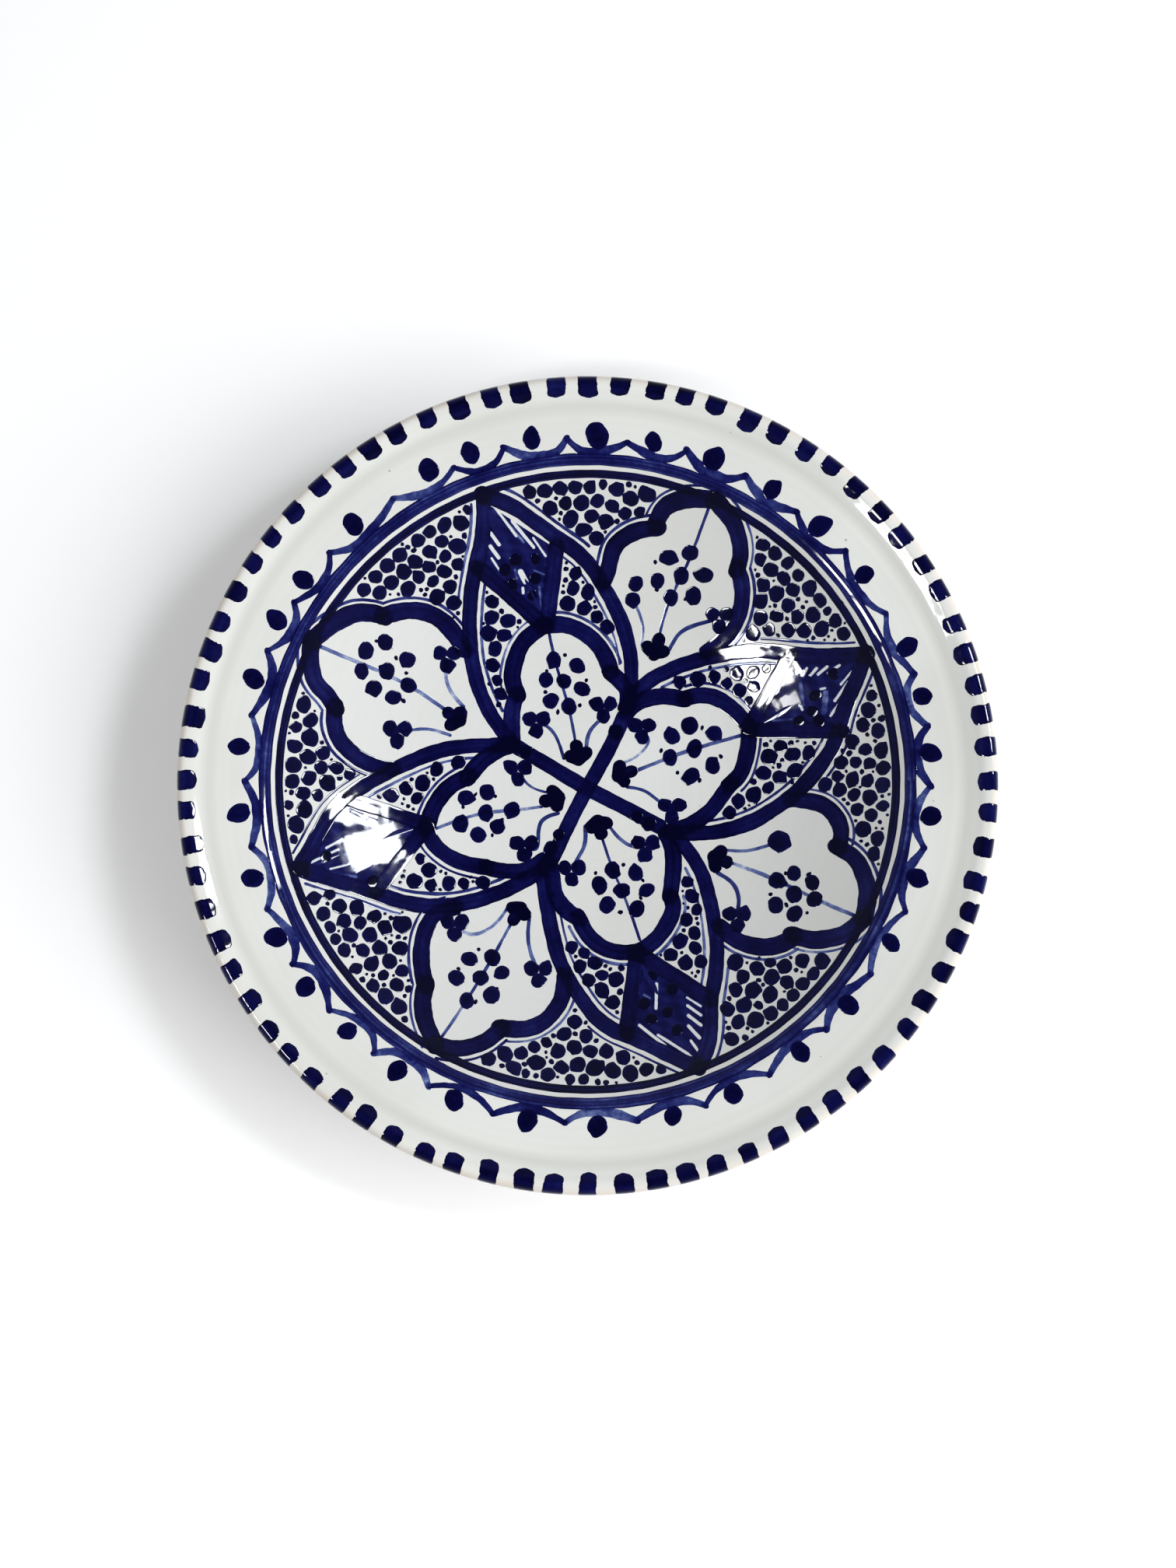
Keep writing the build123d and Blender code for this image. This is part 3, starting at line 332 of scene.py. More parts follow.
def ripple(x, y):
    """How far the glaze stands off its turned form: throwing rings and slow unevenness."""
    radius = np.hypot(x, y)
    angle = np.arctan2(y, x)
    fade = np.clip(radius / 12, 0, 1)
    rings = 0.016 * np.sin(radius * 0.52 + 0.5 * np.sin(angle + 0.6))
    rings += 0.006 * np.sin(radius * 1.13 + 0.9 * np.sin(2 * angle + 1.9) + 1.0)
    rings = rings * (1 + 1.5 * np.clip((radius - 118) / 6, 0, 1))
    slow = 0.10 * np.sin(0.047 * x + 1.1) * np.sin(0.052 * y - 0.4)
    slow += 0.045 * np.sin(0.13 * x - 0.06 * y + 2.0) * np.sin(0.11 * y + 0.05 * x)
    lip = np.clip((PLATE_RADIUS - radius) / 6, 0, 1)
    return (rings * fade + slow) * lip


def lie(x, y, lift):
    """Places on the painted face, or that far off it, over places in plan."""
    x, y = np.asarray(x, float), np.asarray(y, float)
    radius = np.maximum(np.hypot(x, y), 1e-6)
    height = np.interp(radius, FACE[:, 0], FACE[:, 1])
    slope = np.interp(radius, FACE[:, 0], FACE[:, 2])
    off = lift + ripple(x, y)
    inward = -np.sin(slope) * off / radius
    return np.stack([x + x * inward, y + y * inward, height + np.cos(slope) * off], -1)


def over_lip(run, angle, lift):
    """Places by their distance along the face's profile, for marks that turn over the lip."""
    radius = np.interp(run, FACE_RUN, FACE[:, 0])
    height = np.interp(run, FACE_RUN, FACE[:, 1])
    slope = np.interp(run, FACE_RUN, FACE[:, 2])
    off = lift + ripple(radius * np.cos(angle), radius * np.sin(angle))
    radius = radius - np.sin(slope) * off
    return np.stack([radius * np.cos(angle), radius * np.sin(angle),
                     height + np.cos(slope) * off], -1)


# ---- Meshes ------------------------------------------------------------------------------

CREASE = math.radians(55)


class Heap:
    """Vertices, faces and paint of one piece as it grows."""

    def __init__(self):
        self.places, self.faces, self.paint, self.count = [], [], [], 0

    def add(self, places, faces, paint):
        places = np.asarray(places, float).reshape(-1, 3)
        self.places.append(places)
        self.paint.append(np.asarray(paint, float).reshape(-1))
        self.faces += [tuple(int(i) + self.count for i in face) for face in faces]
        self.count += len(places)


def loops_to_faces(rows, around, closed=False, flip=False):
    """Quads between neighbouring loops of vertices, each loop closed on itself."""
    faces = []
    last = rows if closed else rows - 1
    for i in range(last):
        j = (i + 1) % rows
        for k in range(around):
            n = (k + 1) % around
            face = (i * around + k, i * around + n, j * around + n, j * around + k)
            faces.append(face[::-1] if flip else face)
    return faces


def fan(tip, first, around, flip=False):
    """Triangles from a loop of vertices, of which one is given, to a single tip."""
    faces = [(tip, first + k, first + (k + 1) % around) for k in range(around)]
    return [face[::-1] for face in faces] if flip else faces


def make(name, heap, material, node):
    """One piece of the plate, which stands for a node of the model."""
    mesh = bpy.data.meshes.new(name)
    places = np.concatenate(heap.places) * MM
    mesh.from_pydata(places.tolist(), [], heap.faces)
    mesh.validate()
    attribute = mesh.attributes.new("paint", "FLOAT", "POINT")
    attribute.data.foreach_set("value", np.concatenate(heap.paint).astype(np.float32))
    mesh.polygons.foreach_set("use_smooth", [True] * len(mesh.polygons))
    mesh.set_sharp_from_angle(angle=CREASE)
    mesh.update()
    piece = bpy.data.objects.new(name, mesh)
    bpy.context.scene.collection.objects.link(piece)
    mesh.materials.append(material)
    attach(piece, "root")
    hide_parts(node)


# ---- Lines of the brush -------------------------------------------------------------------

def through(points, step=0.9):
    """Even places along a smooth line through the points, and the directions there."""
    p = np.array(points, float)
    knots = np.concatenate([[0], np.cumsum(np.hypot(*np.diff(p, axis=0).T))])
    spans = np.diff(knots)
    n = len(p)
    system, right = np.eye(n), np.zeros((n, 2))
    for i in range(1, n - 1):
        system[i, i - 1:i + 2] = spans[i - 1], 2 * (spans[i - 1] + spans[i]), spans[i]
        right[i] = 6 * ((p[i + 1] - p[i]) / spans[i] - (p[i] - p[i - 1]) / spans[i - 1])
    bend = np.linalg.solve(system, right)
    s = np.linspace(0, knots[-1], max(5, int(round(knots[-1] / step)) + 1))
    k = np.clip(np.searchsorted(knots, s, side="right") - 1, 0, n - 2)
    b = ((s - knots[k]) / spans[k])[:, None]
    a = 1 - b
    line = a * p[k] + b * p[k + 1]
    line += ((a ** 3 - a) * bend[k] + (b ** 3 - b) * bend[k + 1]) * spans[k][:, None] ** 2 / 6
    return line, directions(line)


def directions(line):
    """Unit directions along a line of places."""
    along = np.gradient(line, axis=0)
    return along / np.maximum(np.hypot(*along.T), 1e-9)[:, None]


def beside(points, distance, ends):
    """Part of a stroke's centre line, moved to the left of its direction."""
    line, along = through(points, 0.6)
    side = np.stack([-along[:, 1], along[:, 0]], -1)
    moved = line + side * distance
    first, last = (int(round(end * (len(line) - 1))) for end in ends)
    moved = moved[first:last + 1:2]
    return moved, directions(moved)


def phase(chance):
    """A random place in a wave."""
    return chance.uniform(0, 6.3)


def waver(s, chance, waves):
    """A slow random curve: (wavelength, size) pairs added up."""
    total = np.zeros_like(s)
    for length, size in waves:
        total += size * np.sin(2 * math.pi * s / (length * chance.uniform(0.8, 1.25))
                               + chance.uniform(0, 2 * math.pi))
    return total


# ---- How much paint lies where ------------------------------------------------------------

CELL = 0.5
REACH = 153.0
CELLS = int(2 * REACH / CELL)
paint_map = np.zeros((CELLS, CELLS), np.float32)


def add_to_map(line, half, amount=1.0):
    """Adds one mark to the map of paint, as a band of that half width along its line."""
    low = np.floor((line.min(0) - half + REACH) / CELL).astype(int) - 1
    high = np.ceil((line.max(0) + half + REACH) / CELL).astype(int) + 2
    low, high = np.clip(low, 0, CELLS - 1), np.clip(high, 1, CELLS)
    xs = (np.arange(low[0], high[0]) + 0.5) * CELL - REACH
    ys = (np.arange(low[1], high[1]) + 0.5) * CELL - REACH
    covered = np.zeros((len(ys), len(xs)), bool)
    for x, y in line:
        i0, i1 = np.searchsorted(xs, (x - half, x + half))
        j0, j1 = np.searchsorted(ys, (y - half, y + half))
        near = (xs[None, i0:i1] - x) ** 2 + (ys[j0:j1, None] - y) ** 2 < half * half
        covered[j0:j1, i0:i1] |= near
    paint_map[low[1]:high[1], low[0]:high[0]] += covered * amount


def from_map(places):
    """The paint over places in plan, smoothly between the map's cells."""
    u = np.clip((places[:, 0] + REACH) / CELL - 0.5, 0, CELLS - 1.001)
    v = np.clip((places[:, 1] + REACH) / CELL - 0.5, 0, CELLS - 1.001)
    i, j = u.astype(int), v.astype(int)
    fu, fv = u - i, v - j
    top = paint_map[j, i] * (1 - fu) + paint_map[j, i + 1] * fu
    bottom = paint_map[j + 1, i] * (1 - fu) + paint_map[j + 1, i + 1] * fu
    return top * (1 - fv) + bottom * fv


# ---- Brush marks as crowned shells ---------------------------------------------------------

ACROSS = np.array([-1.0, -0.94, -0.82, -0.6, -0.3, 0.0, 0.3, 0.6, 0.82, 0.94, 1.0])
THIN_ACROSS = np.array([-1.0, -0.7, 0.0, 0.7, 1.0])
EDGE_DIP = 0.03
UNDERSIDE = 0.16
# A stroke's round ends, as bearings from its direction, and the waves of a ring's two edges.
END_TURNS = np.radians([12, 28, 48, 68])
RING_WAVES = ((3, 7, 19, 43, 71), (4, 9, 23, 37, 67))
OUTERMOST = 0.999
EDGE_FADE = 0.35
POOL_WIDTH = 0.16
TIP_FADE = 0.3


def crown(across, height):
    """Height of a stroke's cross-section: steep shoulders, a soft hollow down the middle."""
    shoulder = np.clip(1 - np.abs(across) ** 6, 0, 1)
    hollow = 1 - 0.22 * np.exp(-(across / 0.55) ** 2)
    return np.where(np.abs(across) > OUTERMOST, -EDGE_DIP, height * shoulder * hollow)


def pooled(u, edge):
    """What pools along a stroke's two edges, and what its outermost line lacks."""
    pool = edge * np.exp(-((1 - np.abs(u)) / POOL_WIDTH) ** 2)
    return pool, np.where(np.abs(u) > OUTERMOST, -EDGE_FADE, 0)


def ribbon(heap, line, along, width, height, load, chance, edge=0.16, closed=False,
           fray=0.035, across=ACROSS, ends=(1.0, 1.0), streak=0.06, swell=0.0):
    """One stroke of the brush: a crowned shell with round ends that dips into the glaze."""
    half = width / 2
    if closed:
        centres, heads, shares = line, along, np.ones(len(line))
    else:
        first, last = half * ends[0], half * ends[1]
        start = line[0] - along[0] * (first * np.cos(END_TURNS))[:, None]
        finish = line[-1] + along[-1] * (last * np.cos(END_TURNS[::-1]))[:, None]
        centres = np.concatenate([start, line, finish])
        ends_of = [np.repeat(head, len(END_TURNS), 0) for head in (along[:1], along[-1:])]
        heads = np.concatenate([ends_of[0], along, ends_of[1]])
        belly = 1 + swell * np.sin(np.linspace(0, math.pi, len(line))) ** 2
        shares = np.concatenate([np.sin(END_TURNS), belly, np.sin(END_TURNS[::-1])])
    s = np.concatenate([[0], np.cumsum(np.hypot(*np.diff(centres, axis=0).T))])
    total = s[-1]
    if closed:
        wave = 2 * math.pi * s / (total + (s[1] - s[0]))
        left, right = (sum(fray * 0.6 * math.cos(phase(chance)) * np.sin(k * wave + phase(chance))
                           for k in counts) for counts in RING_WAVES)
    else:
        waves = [(34, fray), (11, 0.6 * fray), (4.2, 0.35 * fray)]
        left, right = waver(s, chance, waves), waver(s, chance, waves)
    side = np.stack([-heads[:, 1], heads[:, 0]], -1)
    u = across[None, :]
    spread = half * shares[:, None] * (1 + np.where(u > 0, left[:, None], right[:, None])) * u
    plan = centres[:, None, :] + side[:, None, :] * spread[..., None]
    lift = crown(across, height)[None, :] * np.where(u * u < 0.99, np.sqrt(shares)[:, None], 1)
    rows, columns = len(centres), len(across)
    top = lie(plan[..., 0], plan[..., 1], lift)
    under = lie(centres[:, 0], centres[:, 1], -UNDERSIDE)
    places = np.concatenate([top, under[:, None, :]], 1)
    pool, soft = pooled(u, edge)
    drag = sum(size * np.sin(u * count + phase(chance) + 0.03 * s[:, None] * chance.uniform(-1, 1))
               for count, size in ((5, 0.6), (9, 0.8), (15, 0.6))) * streak
    slow = waver(s, chance, [(40, 0.05), (15, 0.035)])[:, None]
    tips = np.zeros(rows)
    if not closed:
        tips = (0.12 * np.exp(-(s / (1.2 * half)) ** 2)
                + 0.10 * np.exp(-((total - s) / (1.2 * half)) ** 2))
    paint = load + pool + soft + drag + slow + tips[:, None]
    paint = np.concatenate([paint, np.full((rows, 1), load)], 1)
    around = columns + 1
    faces = loops_to_faces(rows, around, closed)
    places = places.reshape(-1, 3)
    paint = paint.reshape(-1)
    if not closed:
        tip0 = line[0] - along[0] * first
        tip1 = line[-1] + along[-1] * last
        tips = lie(np.array([tip0[0], tip1[0]]), np.array([tip0[1], tip1[1]]), -EDGE_DIP)
        places = np.concatenate([places, tips])
        paint = np.concatenate([paint, [load - TIP_FADE] * 2])
        faces += fan(rows * around, 0, around, flip=True)
        faces += fan(rows * around + 1, (rows - 1) * around, around)
    heap.add(places, faces, paint)


# A dab's dome: each ring's share of the outline and of the height.
DAB_RINGS = [(0.3, 0.99), (0.55, 0.95), (0.75, 0.84), (0.89, 0.62), (0.97, 0.3)]


def from_heading(bearing):
    """Bearings between minus and plus half a turn."""
    return (bearing + math.pi) % (2 * math.pi) - math.pi


def dab(heap, x, y, length, width, turn, height, load, chance,
        fray=0.05, points=34, tails=1.0, tip=0.0):
    """One touch of the brush: a low dome with an uneven outline, closed underneath."""
    bearing = np.linspace(0, 2 * math.pi, points, endpoint=False)
    reach = 1 + sum(fray * chance.uniform(0.3, 1) / (k - 1) ** 0.7
                    * np.cos(k * bearing + phase(chance)) for k in (2, 3, 4, 5, 7))
    for _ in range(chance.choice((0, 1, 1, 2))):
        away = from_heading(bearing - phase(chance))
        reach = reach + chance.uniform(0.08, 0.24) * tails * np.exp(-(away / 0.26) ** 2)
    reach = reach + tip * np.exp(-(from_heading(bearing) / 0.4) ** 2)
    lead_x = chance.uniform(-0.1, 0.1) * width
    lead_y = chance.uniform(-0.1, 0.1) * width
    a, b = math.cos(turn), math.sin(turn)
    ex, ey = length / 2 * reach * np.cos(bearing), width / 2 * reach * np.sin(bearing)
    ox, oy = ex * a - ey * b, ex * b + ey * a
    rings, paint = [], []
    for share, rise in DAB_RINGS:
        slide = 1 - share
        rings.append(lie(x + ox * share + lead_x * slide, y + oy * share + lead_y * slide,
                         height * rise))
        paint.append(np.full(points, load + 0.05 * math.sin(share * 5)))
    rings.append(lie(x + ox, y + oy, -EDGE_DIP))
    paint.append(np.full(points, load - TIP_FADE))
    rings.append(lie(x + ox * 0.5, y + oy * 0.5, -UNDERSIDE))
    paint.append(np.full(points, load))
    ends = lie([x + lead_x, x], [y + lead_y, y], np.array([height, -UNDERSIDE]))
    places = np.concatenate(rings + [ends])
    paint = np.concatenate(paint + [[load - 0.04, load]])
    faces = loops_to_faces(len(rings), points, flip=True)
    top = len(rings) * points
    faces += fan(top, 0, points) + fan(top + 1, top - points, points, flip=True)
    heap.add(places, faces, paint)


def islands(node):
    """The separate solids of a node: the corners of each, in millimetres."""
    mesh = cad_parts[node].data
    places = np.zeros(len(mesh.vertices) * 3)
    mesh.vertices.foreach_get("co", places)
    places = places.reshape(-1, 3) / MM
    spots, owner = np.unique(np.round(places, 3), axis=0, return_inverse=True)
    owner = owner.reshape(-1)
    edges = np.zeros(len(mesh.edges) * 2, int)
    mesh.edges.foreach_get("vertices", edges)
    edges = owner[edges.reshape(-1, 2)]
    label = np.arange(len(spots))
    while True:
        low = np.minimum(label[edges[:, 0]], label[edges[:, 1]])
        fresh = label.copy()
        np.minimum.at(fresh, edges[:, 0], low)
        np.minimum.at(fresh, edges[:, 1], low)
        fresh = fresh[fresh]
        if (fresh == label).all():
            break
        label = fresh
    return [spots[label == root] for root in np.unique(label)]


def ovals(node):
    """Place, length, width and turn of each oval dab of a node, in plan."""
    found = []
    for corners in islands(node):
        plan = corners[:, :2]
        middle = (plan.min(0) + plan.max(0)) / 2
        spread = plan - middle
        _, axes = np.linalg.eigh(spread.T @ spread)
        main = axes[:, 1]
        length = 2 * np.abs(spread @ main).max()
        width = 2 * np.abs(spread @ axes[:, 0]).max()
        found.append((middle[0], middle[1], length, width, math.atan2(main[1], main[0])))
    return sorted(found, key=lambda mark: (round(math.hypot(mark[0], mark[1]), 1), mark[0]))


# ---- Materials ---------------------------------------------------------------------------

def colour(red, green, blue):
    """A screen colour from 0 to 255 as the light it stands for."""
    light = [(c / 255 / 12.92) if c <= 10 else ((c / 255 + 0.055) / 1.055) ** 2.4
             for c in (red, green, blue)]
    return (*light, 1.0)


class Tree:
    """Short ways to add nodes to one material."""

    def __init__(self, name):
        self.material = bpy.data.materials.new(name)
        self.material.use_nodes = True
        self.nodes = self.material.node_tree.nodes
        self.links = self.material.node_tree.links
        self.shader = self.nodes["Principled BSDF"]

    def node(self, kind, **settings):
        made = self.nodes.new("ShaderNode" + kind)
        for key, value in settings.items():
            setattr(made, key, value)
        return made

    def put(self, value, socket):
        if isinstance(value, bpy.types.NodeSocket):
            self.links.new(value, socket)
        else:
            socket.default_value = value

    def math(self, operation, first, second=0.0):
        made = self.node("Math", operation=operation)
        self.put(first, made.inputs[0])
        self.put(second, made.inputs[1])
        return made.outputs[0]

    def times(self, first, second):
        return self.math("MULTIPLY", first, second)

    def plus(self, first, second):
        return self.math("ADD", first, second)

    def less(self, first, second):
        return self.math("SUBTRACT", first, second)

    def noise(self, scale, detail=2.0, roughness=0.5):
        """Noise over the piece, with scale as waves in a metre."""
        place = self.place
        made = self.node("TexNoise")
        self.put(place, made.inputs["Vector"])
        made.inputs["Scale"].default_value = scale
        made.inputs["Detail"].default_value = detail
        made.inputs["Roughness"].default_value = roughness
        return made.outputs["Fac"]

    def ramp(self, value, stops):
        """A ramp from (position, grey level) or (position, screen colour) stops."""
        made = self.node("ValToRGB")
        elements = made.color_ramp.elements
        while len(elements) < len(stops):
            elements.new(0.5)
        for element, (position, shade) in zip(elements, stops):
            element.position = position
            element.color = colour(*shade) if isinstance(shade, tuple) else (shade, shade, shade, 1)
        self.put(value, made.inputs[0])
        return made.outputs["Color"]

    def tint(self, base, share, shade):
        """The base colour, turned by a share towards a screen colour."""
        made = self.node("Mix", data_type="RGBA", blend_type="MIX")
        self.put(share, made.inputs["Factor"])
        self.put(base, made.inputs["A"])
        self.put(colour(*shade), made.inputs["B"])
        return made.outputs["Result"]

    @property
    def place(self):
        if not hasattr(self, "_place"):
            self._place = self.node("TexCoord").outputs["Object"]
        return self._place

    @property
    def radius(self):
        """Distance from the plate's axis as a share of its radius."""
        if not hasattr(self, "_radius"):
            flat = self.node("VectorMath", operation="MULTIPLY")
            self.put(self.place, flat.inputs[0])
            flat.inputs[1].default_value = (1, 1, 0)
            length = self.node("VectorMath", operation="LENGTH")
            self.put(flat.outputs[0], length.inputs[0])
            self._radius = self.math("DIVIDE", length.outputs["Value"], PLATE_RADIUS * MM)
        return self._radius

    def bump(self, height, strength, distance):
        made = self.node("Bump")
        made.inputs["Strength"].default_value = strength
        made.inputs["Distance"].default_value = distance
        self.put(height, made.inputs["Height"])
        self.put(made.outputs[0], self.shader.inputs["Normal"])


def specks(tree, scale, size, share):
    """Small round spots, scattered: 1 on a spot and 0 elsewhere."""
    cells = tree.node("TexVoronoi", feature="F1")
    tree.put(tree.place, cells.inputs["Vector"])
    cells.inputs["Scale"].default_value = scale
    split = tree.node("SeparateColor")
    tree.put(cells.outputs["Color"], split.inputs[0])
    chosen = tree.math("LESS_THAN", split.outputs[0], share)
    reach = tree.times(split.outputs[1], size)
    spot = tree.math("LESS_THAN", cells.outputs["Distance"], reach)
    return tree.times(chosen, spot)


# The glaze's tone by the share of the plate's radius, with painted shade: the well is kept darker
# than the flange, and a narrow darker band at 0.926 of the radius stands for the shade in the
# groove below the thickened rim.
GLAZE_TONE_AND_PAINTED_SHADE = [
    (0.0, (204, 205, 203)), (0.55, (201, 202, 201)), (0.76, (203, 204, 202)),
    (0.80, (210, 211, 208)), (0.90, (210, 211, 207)), (0.926, (195, 196, 191)),
    (0.945, (210, 211, 207)), (1.0, (215, 215, 211)),
]
# Kinds of spots in the glaze: scale, size, share, strength and shade.
GLAZE_SPOTS = [
    (70, 0.075, 0.16, 0.8, (70, 70, 92)), (190, 0.10, 0.12, 0.55, (120, 108, 100)),
    (38, 0.03, 0.35, 0.85, (30, 32, 80)),
]
# Shades of the paint, by how thick it lies.
PAINT_SHADES = [
    (0.0, (200, 202, 201)), (0.04, (164, 173, 192)), (0.14, (90, 103, 148)), (0.28, (42, 52, 108)),
    (0.43, (19, 23, 80)), (0.58, (8, 9, 62)), (0.74, (3, 3, 48)), (0.92, (0, 0, 28)),
]


def glaze_material(name):
    """White tin glaze: glossy, faintly uneven, with specks and pinholes, thin over the lip, and
    with painted shade in the well and in the groove below the rim.
    """
    tree = Tree(name)
    shader = tree.shader
    # Painted shade by radius, over the glaze's own tone: a darker well and a darker band in the
    # groove below the rim.
    base = tree.ramp(tree.radius, GLAZE_TONE_AND_PAINTED_SHADE)
    cloud = tree.noise(14, 3)
    base = tree.tint(base, tree.ramp(cloud, [(0.35, 0.0), (0.7, 0.5)]), (193, 193, 189))
    rings = tree.plus(tree.times(tree.radius, 260.0), tree.times(tree.noise(9, 1), 6.0))
    rings = tree.math("SINE", rings)
    ring_share = tree.times(tree.plus(rings, 1.0), 0.03)
    base = tree.tint(base, ring_share, (184, 185, 181))
    thin = tree.ramp(tree.radius, [(0.976, 0.0), (0.985, 0.5), (0.994, 1.0), (1.0, 0.8)])
    patchy = tree.ramp(tree.noise(60, 3), [(0.3, 0.25), (0.62, 1.0)])
    share = tree.times(tree.times(thin, patchy), 0.45)
    base = tree.tint(base, share, (212, 190, 170))
    for scale, size, share, strength, shade in GLAZE_SPOTS:
        base = tree.tint(base, tree.times(specks(tree, scale, size, share), strength), shade)
    tree.put(base, shader.inputs["Base Color"])
    tree.put(tree.ramp(tree.noise(30, 3), [(0.3, 0.03), (0.7, 0.08)]), shader.inputs["Roughness"])
    shader.inputs["IOR"].default_value = 1.5
    pits = tree.times(specks(tree, 260, 0.16, 0.2), -0.8)
    tree.bump(tree.plus(tree.noise(170, 1), pits), 0.3, 0.00006)
    return tree.material


def paint_material(name):
    """Cobalt under gloss: as dark as the paint lies thick."""
    tree = Tree(name)
    shader = tree.shader
    load = tree.node("Attribute", attribute_name="paint").outputs["Fac"]
    grain = tree.times(tree.less(tree.noise(420, 4, 0.6), 0.5), 0.34)
    cloud = tree.times(tree.less(tree.noise(90), 0.5), 0.30)
    load = tree.plus(load, tree.plus(grain, cloud))
    tree.put(tree.ramp(load, PAINT_SHADES), shader.inputs["Base Color"])
    tree.put(tree.ramp(tree.noise(160), [(0.3, 0.02), (0.7, 0.07)]), shader.inputs["Roughness"])
    tree.bump(tree.noise(230, 1), 0.3, 0.00005)
    return tree.material


def clay_material(name):
    """Bare fired earthenware, with turning lines, grit and a little dirt."""
    tree = Tree(name)
    shader = tree.shader
    base = tree.ramp(tree.noise(45, 4), [(0.3, (196, 168, 140)), (0.7, (222, 198, 172))])
    base = tree.tint(base, tree.times(specks(tree, 420, 0.3, 0.3), 0.6), (120, 92, 70))
    lines = tree.math("SINE", tree.times(tree.radius, 900.0))
    base = tree.tint(base, tree.times(tree.plus(lines, 1.0), 0.08), (140, 112, 90))
    tree.put(base, shader.inputs["Base Color"])
    tree.put(tree.ramp(tree.noise(200, 3), [(0.3, 0.75), (0.7, 0.95)]), shader.inputs["Roughness"])
    shader.inputs["Specular IOR Level"].default_value = 0.25
    tree.bump(tree.plus(tree.noise(700, 4, 0.7), tree.times(lines, 0.3)), 0.5, 0.0004)
    return tree.material


FRONT = glaze_material("tin_glaze")
REVERSE = glaze_material("tin_glaze_reverse")
COBALT = paint_material("cobalt")
WASH = paint_material("cobalt_wash")
CLAY = clay_material("bare_clay")

# ---- Glaze coats and clay ------------------------------------------------------------------

TURN_STEPS = 448
COAT = 0.9 * GLAZE
# The radius of the small opening at a coat's centre, and where the back's coat ends.
EYE = 0.4
BACK_LINE = 76
BACK_SLACK = 9
bearings = np.linspace(0, 2 * math.pi, TURN_STEPS, endpoint=False)


def turned_loop(radius, height):
    """One loop of vertices about the plate's axis."""
    height = height * np.ones(TURN_STEPS)
    return np.stack([radius * np.cos(bearings), radius * np.sin(bearings), height], -1)


def front_glaze():
    """The painted face's coat, from a small opening at the centre that two fans close."""
    end = FACE_RUN[-1]
    runs = np.linspace(EYE, end - 4.5, 120)
    runs = np.concatenate([runs, np.linspace(end - 4.2, end, 18)])
    heap = Heap()
    loops = [over_lip(np.full(TURN_STEPS, run), bearings, 0.0) for run in runs]
    under = np.linspace(end, EYE, 26)
    loops += [over_lip(np.full(TURN_STEPS, run), bearings, -COAT) for run in under]
    faces = loops_to_faces(len(loops), TURN_STEPS, flip=True)
    top = len(loops) * TURN_STEPS
    faces += fan(top, 0, TURN_STEPS) + fan(top + 1, top - TURN_STEPS, TURN_STEPS, flip=True)
    centre = lie([0.0, 0.0], [0.0, 0.0], np.array([0.0, -COAT]))
    heap.add(np.concatenate(loops + [centre]), faces, np.zeros(top + 2))
    return heap


def back_glaze():
    """The underside's coat, down to an uneven line just above the foot ring."""
    chance = random.Random(SEED + 20)
    shift = sum(size * np.sin(count * bearings + phase(chance))
                for count, size in ((2, 0.25), (3, 0.25), (5, 0.2), (9, 0.14), (17, 0.08)))
    turned_in = [PLATE_RADIUS, 149.9, 149.6, 149.1, 148.4, 147.6]
    radii = np.concatenate([turned_in, np.linspace(146.8, 67.7, 74)])
    back = BACK[np.argsort(BACK[:, 0], kind="stable")]
    loops = []

    def at(radius, depth):
        height = np.interp(radius, back[:, 0], back[:, 1])
        slope = np.interp(radius, back[:, 0], back[:, 2])
        wave = 0.05 * np.sin(radius * 0.45 + 0.7 * np.sin(bearings)) + 0.03 * np.sin(radius * 1.1)
        wave = wave * np.clip((PLATE_RADIUS - radius) / 8, 0, 1)
        off = depth + wave
        return radius - np.sin(slope) * off, height + np.cos(slope) * off

    for part, depth in ((radii, 0.0), (radii[::-3], COAT)):
        for radius in part:
            slack = np.clip((BACK_LINE - radius) / BACK_SLACK, 0, 1)
            loops.append(turned_loop(*at(radius + slack * shift, depth)))
    heap = Heap()
    heap.add(np.concatenate(loops), loops_to_faces(len(loops), TURN_STEPS, closed=True),
             np.zeros(len(loops) * TURN_STEPS))
    return heap


def foot_well_glaze():
    """The glaze inside the foot ring, drawn up a little at its edge."""
    heap = Heap()
    edge = FOOT_INNER - FOOT_DRAFT - 0.2
    radii = np.concatenate([np.linspace(0.5, edge - 3, 44), np.linspace(edge - 2.6, edge, 8)])
    loops = []
    for radius in radii:
        rise = 0.35 * np.clip((radius - edge + 3) / 3, 0, 1) ** 2
        wave = 0.04 * np.sin(radius * 0.6 + 0.5 * np.sin(bearings * 2))
        loops.append(turned_loop(radius, FOOT_WELL_HEIGHT + rise - wave - 0.02))
    upper = FOOT_WELL_HEIGHT + COAT
    loops += [turned_loop(radius, upper) for radius in (edge, edge / 2, 0.5)]
    faces = loops_to_faces(len(loops), TURN_STEPS)
    low = len(loops) * TURN_STEPS
    faces += fan(low, 0, TURN_STEPS, flip=True) + fan(low + 1, low - TURN_STEPS, TURN_STEPS)
    centre = [[(0, 0, FOOT_WELL_HEIGHT)], [(0, 0, upper)]]
    heap.add(np.concatenate(loops + centre), faces, np.zeros(low + 2))
    return heap


make("front_glaze_coat", front_glaze(), FRONT, "front_glaze")
make("back_glaze_coat", back_glaze(), REVERSE, "back_glaze")
make("foot_well_coat", foot_well_glaze(), REVERSE, "foot_well_glaze")
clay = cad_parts["clay_body"]
clay.data.materials.clear()
clay.data.materials.append(CLAY)

# ---- Brushwork ----------------------------------------------------------------------------

